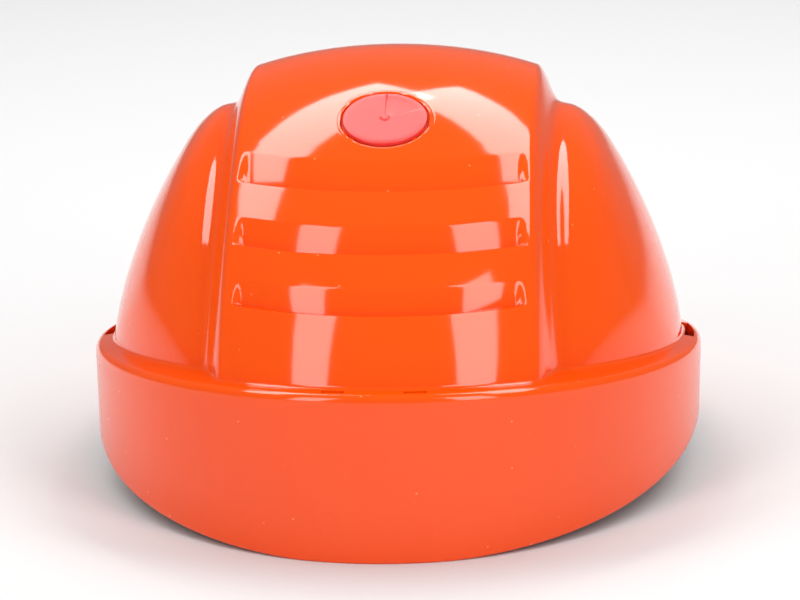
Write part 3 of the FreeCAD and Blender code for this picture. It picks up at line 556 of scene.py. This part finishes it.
def math_node(tree, operation, first, second=None, third=None):
    """One step of arithmetic on numbers and sockets."""
    made = node(tree, "ShaderNodeMath", operation=operation)
    for socket, value in zip(made.inputs, (first, second, third)):
        if value is None:
            continue
        if isinstance(value, (int, float)):
            socket.default_value = value
        else:
            tree.links.new(value, socket)
    return made.outputs[0]


def ranged(tree, value, low=0.0, high=1.0, first=0.0, last=1.0, **values):
    """A value between low and high, mapped to between first and last and held there."""
    made = node(tree, "ShaderNodeMapRange", clamp=True, **values)
    tree.links.new(value, made.inputs["Value"])
    for label, number in (("From Min", low), ("From Max", high), ("To Min", first), ("To Max", last)):
        made.inputs[label].default_value = number
    return made.outputs[0]


def noise_group():
    """Fine moulding ripple, cloudy colour variation and settled dust, from Object coordinates."""
    group, inside, out = new_group(
        "moulded_surface",
        [("Vector", "NodeSocketVector", None), ("Ripple Scale", "NodeSocketFloat", 60.0),
         ("Cloud Scale", "NodeSocketFloat", 14.0), ("Speck Scale", "NodeSocketFloat", 420.0),
         ("Speck Amount", "NodeSocketFloat", 0.3)],
        [("Height", "NodeSocketFloat"), ("Cloud", "NodeSocketFloat"), ("Specks", "NodeSocketFloat")])
    links = group.links
    ripple = node(group, "ShaderNodeTexNoise")
    ripple.inputs["Detail"].default_value = 2.0
    links.new(inside.outputs["Vector"], ripple.inputs["Vector"])
    links.new(inside.outputs["Ripple Scale"], ripple.inputs["Scale"])
    cloud = node(group, "ShaderNodeTexNoise")
    cloud.inputs["Detail"].default_value = 4.0
    links.new(inside.outputs["Vector"], cloud.inputs["Vector"])
    links.new(inside.outputs["Cloud Scale"], cloud.inputs["Scale"])
    speck = node(group, "ShaderNodeTexVoronoi")
    links.new(inside.outputs["Vector"], speck.inputs["Vector"])
    links.new(inside.outputs["Speck Scale"], speck.inputs["Scale"])
    dots = ranged(group, speck.outputs["Distance"], 0.05, 0.13, 1.0, 0.0)
    chosen = ranged(group, speck.outputs["Color"], 0.78, 0.82)
    few = math_node(group, "MULTIPLY", dots, chosen)
    amount = math_node(group, "MULTIPLY", few, inside.outputs["Speck Amount"])
    links.new(ripple.outputs["Fac"], out.inputs["Height"])
    links.new(cloud.outputs["Fac"], out.inputs["Cloud"])
    links.new(amount, out.inputs["Specks"])
    return group


def wear_group():
    """Pale rubbing where the surface is sharply convex."""
    group, inside, out = new_group(
        "edge_wear", [("Vector", "NodeSocketVector", None), ("Amount", "NodeSocketFloat", 0.5)],
        [("Mask", "NodeSocketFloat")])
    geometry = node(group, "ShaderNodeNewGeometry")
    edge = ranged(group, geometry.outputs["Pointiness"], 0.53, 0.6)
    broken = node(group, "ShaderNodeTexNoise")
    broken.inputs["Scale"].default_value = 260.0
    group.links.new(inside.outputs["Vector"], broken.inputs["Vector"])
    part = math_node(group, "MULTIPLY", edge, broken.outputs["Fac"])
    group.links.new(math_node(group, "MULTIPLY", part, inside.outputs["Amount"]), out.inputs["Mask"])
    return group


def weave_group():
    """Crossing threads of a woven band, with a little fuzz."""
    group, inside, out = new_group(
        "weave", [("Vector", "NodeSocketVector", None), ("Threads", "NodeSocketFloat", 900.0)],
        [("Height", "NodeSocketFloat"), ("Tone", "NodeSocketFloat")])
    waves = []
    for axis in ("X", "Y"):
        wave = node(group, "ShaderNodeTexWave", bands_direction=axis)
        wave.inputs["Distortion"].default_value = 0.6
        group.links.new(inside.outputs["Vector"], wave.inputs["Vector"])
        group.links.new(inside.outputs["Threads"], wave.inputs["Scale"])
        waves.append(wave.outputs["Fac"])
    woven = math_node(group, "MULTIPLY", waves[0], waves[1])
    fuzz = node(group, "ShaderNodeTexNoise")
    fuzz.inputs["Scale"].default_value = 60.0
    fuzz.inputs["Detail"].default_value = 6.0
    group.links.new(inside.outputs["Vector"], fuzz.inputs["Vector"])
    group.links.new(woven, out.inputs["Height"])
    half_fuzz = math_node(group, "MULTIPLY", fuzz.outputs["Fac"], 0.5)
    tone = math_node(group, "MULTIPLY_ADD", woven, 0.5, half_fuzz)
    group.links.new(tone, out.inputs["Tone"])
    return group


MOULDED, WORN, WOVEN = noise_group(), wear_group(), weave_group()


# ---------------------------------------------------------------- materials

def new_material(name, roughness, **values):
    """A Principled material, with its tree, its shader and its Object coordinates."""
    material = bpy.data.materials.new(name)
    material.use_nodes = True
    tree = material.node_tree
    shader = tree.nodes["Principled BSDF"]
    shader.inputs["Roughness"].default_value = roughness
    for label, value in values.items():
        shader.inputs[label.replace("_", " ")].default_value = value
    place = node(tree, "ShaderNodeTexCoord")
    return material, tree, shader, place.outputs["Object"]


def mixed(tree, factor, first, second):
    """A colour between two colours or sockets."""
    mix = node(tree, "ShaderNodeMix", data_type="RGBA")
    tree.links.new(factor, mix.inputs["Factor"])
    for socket, value in ((mix.inputs["A"], first), (mix.inputs["B"], second)):
        if isinstance(value, tuple):
            socket.default_value = value
        else:
            tree.links.new(value, socket)
    return mix.outputs["Result"]


def bumped(tree, shader, height, strength, distance):
    """Raise the shader's surface by a height."""
    bump = node(tree, "ShaderNodeBump")
    bump.inputs["Strength"].default_value = strength
    bump.inputs["Distance"].default_value = distance
    tree.links.new(height, bump.inputs["Height"])
    tree.links.new(bump.outputs["Normal"], shader.inputs["Normal"])


def plastic(name, colour, dark, roughness, grain=0.25, wear=0.4):
    """Moulded plastic: cloudy colour and gloss, fine grain and rubbed edges."""
    spread = 0.08
    material, tree, shader, place = new_material(name, roughness)
    surface = node(tree, "ShaderNodeGroup", node_tree=MOULDED)
    tree.links.new(place, surface.inputs["Vector"])
    surface.inputs["Ripple Scale"].default_value = 900.0
    worn = node(tree, "ShaderNodeGroup", node_tree=WORN)
    tree.links.new(place, worn.inputs["Vector"])
    worn.inputs["Amount"].default_value = wear
    base = mixed(tree, surface.outputs["Cloud"], dark, colour)
    pale = tuple(min(1.0, value * 1.5 + 0.05) for value in colour[:3]) + (1.0,)
    tree.links.new(mixed(tree, worn.outputs["Mask"], base, pale), shader.inputs["Base Color"])
    smoothest = max(0.02, roughness - spread)
    rough = ranged(tree, surface.outputs["Cloud"], first=smoothest, last=roughness + spread)
    tree.links.new(rough, shader.inputs["Roughness"])
    bumped(tree, shader, surface.outputs["Height"], grain, 0.00012)
    return material


def shell_plastic():
    """Glossy orange moulding: crown polished, skirt a little softer in gloss and a touch darker as painted
    shade, faint flow ripple and dust.
    """
    material, tree, shader, place = new_material("shell_orange_gloss", 0.1, IOR=1.5)
    surface = node(tree, "ShaderNodeGroup", node_tree=MOULDED)
    tree.links.new(place, surface.inputs["Vector"])
    surface.inputs["Ripple Scale"].default_value = 38.0
    surface.inputs["Cloud Scale"].default_value = 9.0
    surface.inputs["Speck Scale"].default_value = 260.0
    surface.inputs["Speck Amount"].default_value = 0.5
    spot = node(tree, "ShaderNodeSeparateXYZ")
    tree.links.new(place, spot.inputs[0])
    level = math_node(tree, "MULTIPLY_ADD", spot.outputs["Y"], RIM_SLOPE, spot.outputs["Z"])
    skirt = ranged(tree, level, (RIM_HEIGHT - 1.0) * MM, (RIM_HEIGHT - 4.0) * MM)
    crown = mixed(tree, surface.outputs["Cloud"], (0.93, 0.078, 0.0015, 1.0), (1.0, 0.098, 0.002, 1.0))
    # painted shade: the skirt's orange is a touch darker than the crown's, standing in for shade on the lower
    # wall; its higher roughness is the real finish
    lower = mixed(tree, surface.outputs["Cloud"], (0.9, 0.07, 0.004, 1.0), (0.98, 0.09, 0.006, 1.0))
    # the skirt mask brings in the painted shade of the skirt, over the crown's own cloudy orange
    tint_with_skirt_shade = mixed(tree, skirt, crown, lower)
    dusty = mixed(tree, surface.outputs["Specks"], tint_with_skirt_shade, (1.0, 0.42, 0.16, 1.0))
    tree.links.new(dusty, shader.inputs["Base Color"])
    rough = ranged(tree, skirt, first=0.075, last=0.2)
    extra = math_node(tree, "MULTIPLY_ADD", surface.outputs["Specks"], 0.3, rough)
    tree.links.new(extra, shader.inputs["Roughness"])
    bumped(tree, shader, surface.outputs["Height"], 0.06, 0.0009)
    return material


def fabric(name, colour, light, threads, sheen=0.4):
    """Woven cloth with threads, fuzz and a soft sheen."""
    material, tree, shader, place = new_material(name, 0.85, Sheen_Weight=sheen, Sheen_Roughness=0.5)
    weave = node(tree, "ShaderNodeGroup", node_tree=WOVEN)
    weave.inputs["Threads"].default_value = threads
    tree.links.new(place, weave.inputs["Vector"])
    tree.links.new(mixed(tree, weave.outputs["Tone"], colour, light), shader.inputs["Base Color"])
    bumped(tree, shader, weave.outputs["Height"], 0.5, 0.0004)
    return material


def metal(name, colour, roughness):
    """Plated steel with fine brushing."""
    material, tree, shader, place = new_material(name, roughness, Metallic=1.0)
    brush = node(tree, "ShaderNodeTexNoise")
    brush.inputs["Scale"].default_value = 1400.0
    brush.inputs["Detail"].default_value = 3.0
    tree.links.new(place, brush.inputs["Vector"])
    dark = tuple(value * 0.7 for value in colour[:3]) + (1.0,)
    tree.links.new(mixed(tree, brush.outputs["Fac"], dark, colour), shader.inputs["Base Color"])
    bumped(tree, shader, brush.outputs["Fac"], 0.15, 0.0001)
    return material


SHELL = shell_plastic()
DISC = plastic("indicator_red_satin", (0.88, 0.06, 0.05, 1), (0.82, 0.045, 0.04, 1), 0.38, wear=0.15)
FOAM_TAPE = plastic("adhesive_foam_white", (0.8, 0.8, 0.78, 1), (0.7, 0.7, 0.68, 1), 0.8)
HARNESS = plastic("harness_charcoal", (0.03, 0.03, 0.034, 1), (0.02, 0.02, 0.022, 1), 0.42)
CLIP = plastic("clip_charcoal", (0.04, 0.04, 0.045, 1), (0.026, 0.026, 0.03, 1), 0.36)
STUD = plastic("stud_black", (0.024, 0.024, 0.026, 1), (0.016, 0.016, 0.018, 1), 0.3)
RATCHET = plastic("ratchet_black", (0.028, 0.028, 0.031, 1), (0.018, 0.018, 0.02, 1), 0.46, grain=0.5)
KNOB = plastic("knob_soft_black", (0.022, 0.022, 0.023, 1), (0.015, 0.015, 0.016, 1), 0.62, grain=0.6)
GEAR = plastic("gear_natural", (0.74, 0.71, 0.63, 1), (0.66, 0.63, 0.55, 1), 0.34)
WEBBING = fabric("webbing_grey", (0.03, 0.032, 0.037, 1), (0.1, 0.105, 0.12, 1), 520.0)
CROWN_PAD = fabric("crown_pad_felt", (0.02, 0.02, 0.022, 1), (0.06, 0.06, 0.064, 1), 380.0, 0.6)
SWEATBAND = fabric("sweatband_cloth", (0.035, 0.035, 0.038, 1), (0.11, 0.11, 0.118, 1), 420.0, 0.6)
NAPE_PAD = fabric("nape_pad_cloth", (0.03, 0.03, 0.033, 1), (0.09, 0.09, 0.096, 1), 420.0, 0.6)
SPRING = metal("spring_steel", (0.62, 0.62, 0.62, 1), 0.3)
SCREW = metal("screw_zinc", (0.66, 0.66, 0.67, 1), 0.28)

CARRIED = {
    "indicator_pad": FOAM_TAPE, "headband": HARNESS, "pivot_stud_left": STUD, "pivot_stud_right": STUD,
    "nape_arm_left": HARNESS, "nape_arm_right": HARNESS, "ratchet_housing": RATCHET,
    "ratchet_cover": RATCHET, "cover_screws": SCREW, "click_spring": SPRING, "ratchet_knob": KNOB,
    "pinion": GEAR, "rack_left": GEAR, "rack_right": GEAR, "shaft_screw": SCREW,
}
for name, piece in nodes.items():
    chosen = CLIP if name.startswith("strap_clip") else CARRIED.get(name)
    if chosen:
        piece.data.materials.clear()
        piece.data.materials.append(chosen)


# ---------------------------------------------------------------- indicator disc

def make_disc():
    """Dyed disc with a bevelled rim, an engraved pointer line, a lowered sector and a centre nub."""
    centre, outward, upward = disc_seat()
    radii = [0.0, 1.2, 1.5, 1.9, 4.0, 7.0, 10.0, 12.8, DISC_RADIUS - 0.5, DISC_RADIUS - 0.15, DISC_RADIUS,
             DISC_RADIUS, DISC_RADIUS - 0.2, 0.0]
    lifts = [0.55, 0.5, 0.2, 0.0, 0.0, 0.0, 0.0, 0.0, 0.0, -0.1, -0.3, -1.5, -1.6, -1.6]
    angles = list(np.linspace(0.0, 2 * math.pi, 145)[:-1])
    line = math.pi / 2
    angles = sorted([angle for angle in angles if abs(angle - line) > 0.06]
                    + [line - 0.055, line - 0.03, line - 0.012, line + 0.012, line + 0.03, line + 0.055])
    side = np.array([1.0, 0.0, 0.0])
    points = []
    for radius, lift in zip(radii, lifts):
        for angle in angles:
            drop = 0.0
            if 1.9 < radius < DISC_RADIUS - 1.0 and lift == 0.0:
                if abs(angle - line) < 0.02:
                    drop = 0.45
                elif line - 1.15 < angle < line:
                    drop = 0.16
            points.append(centre + radius * (math.cos(angle) * side + math.sin(angle) * upward)
                          + outward * (lift - drop - 0.25))
    faces = grid_faces(len(radii), len(angles), closed=True)
    disc = mesh_piece("dyed_disc", points, faces, DISC, angle=25.0)
    merge_doubles(disc, 0.00001)
    return disc


def merge_doubles(piece, distance):
    """Join points closer than a distance, in metres, and turn the faces outwards."""
    select_only(piece)
    bpy.ops.object.mode_set(mode="EDIT")
    bpy.ops.mesh.select_all(action="SELECT")
    bpy.ops.mesh.remove_doubles(threshold=distance)
    bpy.ops.mesh.normals_make_consistent(inside=False)
    bpy.ops.object.mode_set(mode="OBJECT")
    piece.select_set(False)


# ---------------------------------------------------------------- soft pieces

def closed_pad(name, sheet, thickness, material, columns, rows):
    """A padded piece between a back face and a crowned front face; sheet gives point and normal."""
    front, back = [], []
    for i in range(rows + 1):
        for j in range(columns + 1):
            u, v = j / columns, i / rows
            point, normal = sheet(u, v)
            rise = thickness(u, v)
            front.append(point + normal * rise)
            back.append(point)
    faces = grid_faces(rows + 1, columns + 1)
    faces += grid_faces(rows + 1, columns + 1, first=len(front), flip=True)
    total, wide = len(front), columns + 1
    for i in range(rows):
        for j, turned in ((0, False), (columns, True)):
            quad = (i * wide + j, (i + 1) * wide + j, total + (i + 1) * wide + j, total + i * wide + j)
            faces.append(quad[::-1] if turned else quad)
    for j in range(columns):
        for i, turned in ((0, True), (rows, False)):
            quad = (i * wide + j, i * wide + j + 1, total + i * wide + j + 1, total + i * wide + j)
            faces.append(quad if turned else quad[::-1])
    pad = mesh_piece(name, front + back, faces, material, shifted=False, angle=60.0)
    merge_doubles(pad, 0.000005)
    return pad


def dome(value, power=4.0):
    """1 in the middle, falling to 0 at both ends of 0..1, square-shouldered."""
    return max(0.0, 1.0 - abs(2.0 * value - 1.0) ** power)


def make_sweatband():
    """Quilted brow pad inside the front of the headband."""
    low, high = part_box("sweatband")
    bottom, tall = low.z / MM, (high.z - low.z) / MM
    half, depth, end_across = 79.7, 97.7, 64.0      # the headband's inside, and where the pad stops
    end = math.acos(end_across / half)

    def sheet(u, v):
        turn = end + (math.pi - 2 * end) * u
        point = np.array([half * math.cos(turn), depth * math.sin(turn) - MIDDLE, bottom + tall * v])
        normal = np.array([-math.cos(turn) / half, -math.sin(turn) / depth, 0.0])
        return point, normal / np.linalg.norm(normal)

    def thickness(u, v):
        channel = 0.55 + 0.45 * abs(math.sin(math.pi * 11 * u)) ** 0.5
        return 0.25 + 2.9 * dome(u, 14) ** 0.5 * dome(v, 5) ** 0.5 * channel

    return closed_pad("brow_sweatband", sheet, thickness, SWEATBAND, 176, 22)


def make_nape_pad():
    """Soft pad on the front of the ratchet's housing, with two sewn channels."""
    low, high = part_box("nape_pad")
    low, high = np.array(low) / MM, np.array(high) / MM

    def sheet(u, v):
        return (np.array([low[0] + (high[0] - low[0]) * u, low[1], low[2] + (high[2] - low[2]) * v]),
                np.array([0.0, 1.0, 0.0]))

    def thickness(u, v):
        channel = 1.0 - 0.4 * (math.exp(-((u - 0.33) / 0.02) ** 2) + math.exp(-((u - 0.67) / 0.02) ** 2))
        return 0.3 + (high[1] - low[1] - 0.3) * dome(u, 6) ** 0.5 * dome(v, 6) ** 0.5 * channel

    return closed_pad("nape_cushion", sheet, thickness, NAPE_PAD, 72, 48)


def make_crown_pad():
    """Round felt pad stitched over the straps' crossing."""
    low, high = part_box("crown_pad")
    low, high = np.array(low) / MM, np.array(high) / MM
    centre, radius, tall = (low + high) / 2, (high[0] - low[0]) / 2, high[2] - low[2]
    profile = [(0.0, 1.0), (0.3, 1.0), (0.6, 0.98), (0.78, 0.94), (0.84, 0.72), (0.88, 0.92), (0.95, 0.86),
               (0.99, 0.68), (1.0, 0.5), (0.99, 0.3), (0.95, 0.12), (0.88, 0.06), (0.84, 0.24), (0.78, 0.04),
               (0.5, 0.0), (0.0, 0.0)]
    points = []
    for out, up in profile:
        for step in range(96):
            angle = 2 * math.pi * step / 96
            points.append([centre[0] + radius * out * math.cos(angle),
                           centre[1] + radius * out * math.sin(angle), low[2] + tall * up])
    pad = mesh_piece("crossing_pad", points, grid_faces(len(profile), 96, closed=True, flip=True),
                     CROWN_PAD, shifted=False, angle=60.0)
    merge_doubles(pad, 0.000005)
    return pad


def wall_distance(direction, height):
    """From the middle to the cheek's inside along a direction, over the breadth and height of a clip."""
    half_width, below, above, clear = 13.0, 9.0, 14.0, 0.8
    turn = math.radians(direction)
    aside, up = np.meshgrid([-half_width, 0.0, half_width], [height - below, height + above])

    def holds(reach):
        return in_cheek(reach * math.cos(turn) - aside * math.sin(turn),
                        reach * math.sin(turn) + aside * math.cos(turn), up)

    reaches = farthest(np.full(aside.shape, 40.0), np.full(aside.shape, 160.0), holds, steps=40)
    return reaches.min() - WALL - clear


def make_strap(number, direction):
    """Woven band arching from clip to clip, with thicker sewn edges."""
    feet = [wall_distance(direction + end, STRAP_FOOT) - STRAP_CLEAR for end in (180, 0)]
    middle, reach = (feet[1] - feet[0]) / 2.0, (feet[0] + feet[1]) / 2.0
    lift = (number - 2) * STRAP_STEP
    rise = CRADLE_TOP - STRAP_FOOT + lift
    start = math.asin(1.7 / rise)
    turn = math.radians(direction)
    out = np.array([math.cos(turn), math.sin(turn), 0.0])
    aside = np.array([-math.sin(turn), math.cos(turn), 0.0])
    steps, columns = 150, 16
    outer, inner = [], []
    for i in range(steps + 1):
        angle = start + (math.pi - 2 * start) * i / steps
        for j in range(columns + 1):
            v = 2.0 * j / columns - 1.0
            hem = 0.16 * math.exp(-((abs(v) - 0.86) / 0.08) ** 2)
            rounding = 0.3 * max(0.0, abs(v) - 0.93) / 0.07
            thick = 0.42 + hem - rounding
            flat = np.array([math.cos(angle), math.sin(angle)])
            normal = np.array([math.cos(angle) / reach, math.sin(angle) / rise])
            normal /= np.linalg.norm(normal)
            for side, rows in ((1, outer), (-1, inner)):
                spot = np.array([(reach - 0.6) * flat[0], (rise - 0.6) * flat[1]]) + normal * thick * side
                rows.append(out * (middle + spot[0]) + aside * v * STRAP_WIDTH / 2
                            + np.array([0.0, 0.0, STRAP_FOOT + spot[1]]))
    wide = columns + 1
    total = len(outer)
    faces = grid_faces(steps + 1, wide) + grid_faces(steps + 1, wide, first=total, flip=True)
    for i in range(steps):
        faces.append((i * wide, (i + 1) * wide, total + (i + 1) * wide, total + i * wide))
        faces.append((total + i * wide + columns, total + (i + 1) * wide + columns,
                      (i + 1) * wide + columns, i * wide + columns))
    for j in range(columns):
        faces.append((total + j, total + j + 1, j + 1, j))
        k = steps * wide
        faces.append((k + j, k + j + 1, total + k + j + 1, total + k + j))
    strap = mesh_piece(f"webbing_{number}", outer + inner, faces, WEBBING, angle=50.0)
    merge_doubles(strap, 0.000005)
    return strap


# ---------------------------------------------------------------- everything in place

shell = make_shell(SHELL)
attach(shell, "helmet")
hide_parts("shell")

disc = make_disc()
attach(disc, "helmet")
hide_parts("indicator_disc")

for number, direction in enumerate(STRAP_DIRECTIONS, start=1):
    strap = make_strap(number, direction)
    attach(strap, "helmet")
    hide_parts(f"crown_strap_{number}")

crossing = make_crown_pad()
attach(crossing, "helmet")
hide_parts("crown_pad")

brow = make_sweatband()
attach(brow, "helmet")
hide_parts("sweatband")

cushion = make_nape_pad()
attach(cushion, "nape_strap")
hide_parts("nape_pad")


# ---------------------------------------------------------------- floor, light and camera

def plain_matte(name, colour):
    """An even, matt colour."""
    material, _, shader, _ = new_material(name, 0.9)
    shader.inputs["Base Color"].default_value = colour
    return material


def make_floor():
    """Pale floor that curves up into a backdrop far behind the helmet."""
    near, far, bend, tall, half, steps = -4.0, 2.4, 1.2, 4.0, 5.0, 12      # metres, as the floor is large
    profile = [(near, 0.0), (far, 0.0)]
    for step in range(1, steps + 1):
        lean = math.pi / 2 * step / steps
        profile.append((far + bend * math.sin(lean), bend * (1 - math.cos(lean))))
    profile.append((far + bend, tall))
    points = [[across / MM, along / MM, up / MM] for along, up in profile for across in (-half, half)]
    pale = plain_matte("pale_floor", (0.74, 0.74, 0.74, 1))
    floor = mesh_piece("floor", points, grid_faces(len(profile), 2), pale, shifted=False)


AIM = Vector((0.0, -0.03, 0.09))


def soft_box(name, towards, distance, wide, tall, radiance):
    """An area light aimed at the helmet from a direction."""
    away = Vector(towards).normalized()
    data = bpy.data.lights.new(name, "AREA")
    data.shape = "RECTANGLE"
    data.size, data.size_y = wide, tall
    data.energy = radiance * math.pi * wide * tall
    lamp = bpy.data.objects.new(name, data)
    lamp.location = AIM + away * distance
    lamp.rotation_euler = away.to_track_quat("Z", "Y").to_euler()
    bpy.context.scene.collection.objects.link(lamp)


def make_world():
    """White surround ahead of the helmet, a dim room behind it."""
    world = bpy.data.worlds.new("studio")
    world.use_nodes = True
    tree = world.node_tree
    place = node(tree, "ShaderNodeTexCoord")
    spot = node(tree, "ShaderNodeSeparateXYZ")
    tree.links.new(place.outputs["Generated"], spot.inputs[0])
    ahead = ranged(tree, spot.outputs["Y"], 0.62, 0.93, 0.2, 1.5, interpolation_type="SMOOTHSTEP")
    looked_at = node(tree, "ShaderNodeLightPath").outputs["Is Camera Ray"]
    seen = math_node(tree, "MAXIMUM", ahead, looked_at)
    tree.links.new(seen, tree.nodes["Background"].inputs["Strength"])
    tree.nodes["Background"].inputs["Color"].default_value = (1.0, 1.0, 1.0, 1.0)
    bpy.context.scene.world = world


def make_light():
    """Two tall boxes behind the helmet and two long ones overhead, one on each side."""
    make_world()
    soft_box("left_soft_box", (-0.5, -0.75, 0.42), 1.7, 0.45, 1.3, 5.6)
    soft_box("right_soft_box", (0.6, -0.67, 0.42), 1.7, 0.5, 1.3, 5.6)
    soft_box("left_overhead", (-0.4, 0.3, 0.86), 1.5, 1.9, 0.36, 7.0)
    soft_box("right_overhead", (0.4, 0.3, 0.86), 1.5, 1.9, 0.36, 7.0)


CAMERA = {"elevation": 13.95, "azimuth": 3.83, "roll": -0.86, "distance": 1.6, "lens": 198.1,
          "shift_x": 0.003, "shift_y": -0.0785}


def make_camera():
    """Long lens behind the helmet, a little above it and to its right."""
    lift, turn = math.radians(CAMERA["elevation"]), math.radians(CAMERA["azimuth"])
    roll = math.radians(CAMERA["roll"])
    back = Vector((math.sin(turn) * math.cos(lift), -math.cos(turn) * math.cos(lift), math.sin(lift)))
    right = Vector((math.cos(turn), math.sin(turn), 0.0))
    up = back.cross(right)
    side = right * math.cos(roll) + up * math.sin(roll)
    top = up * math.cos(roll) - right * math.sin(roll)
    data = bpy.data.cameras.new("rear_view")
    data.lens, data.sensor_width = CAMERA["lens"], 36.0
    data.shift_x, data.shift_y = CAMERA["shift_x"], CAMERA["shift_y"]
    camera = bpy.data.objects.new("rear_view", data)
    place = Vector((0.0, -MIDDLE * MM, 0.08)) + back * CAMERA["distance"]
    turned = Matrix((side, top, back)).transposed().to_4x4()
    camera.matrix_world = Matrix.Translation(place) @ turned
    bpy.context.scene.collection.objects.link(camera)
    bpy.context.scene.camera = camera


make_floor()
make_light()
make_camera()
bpy.context.scene.view_settings.view_transform = "Standard"
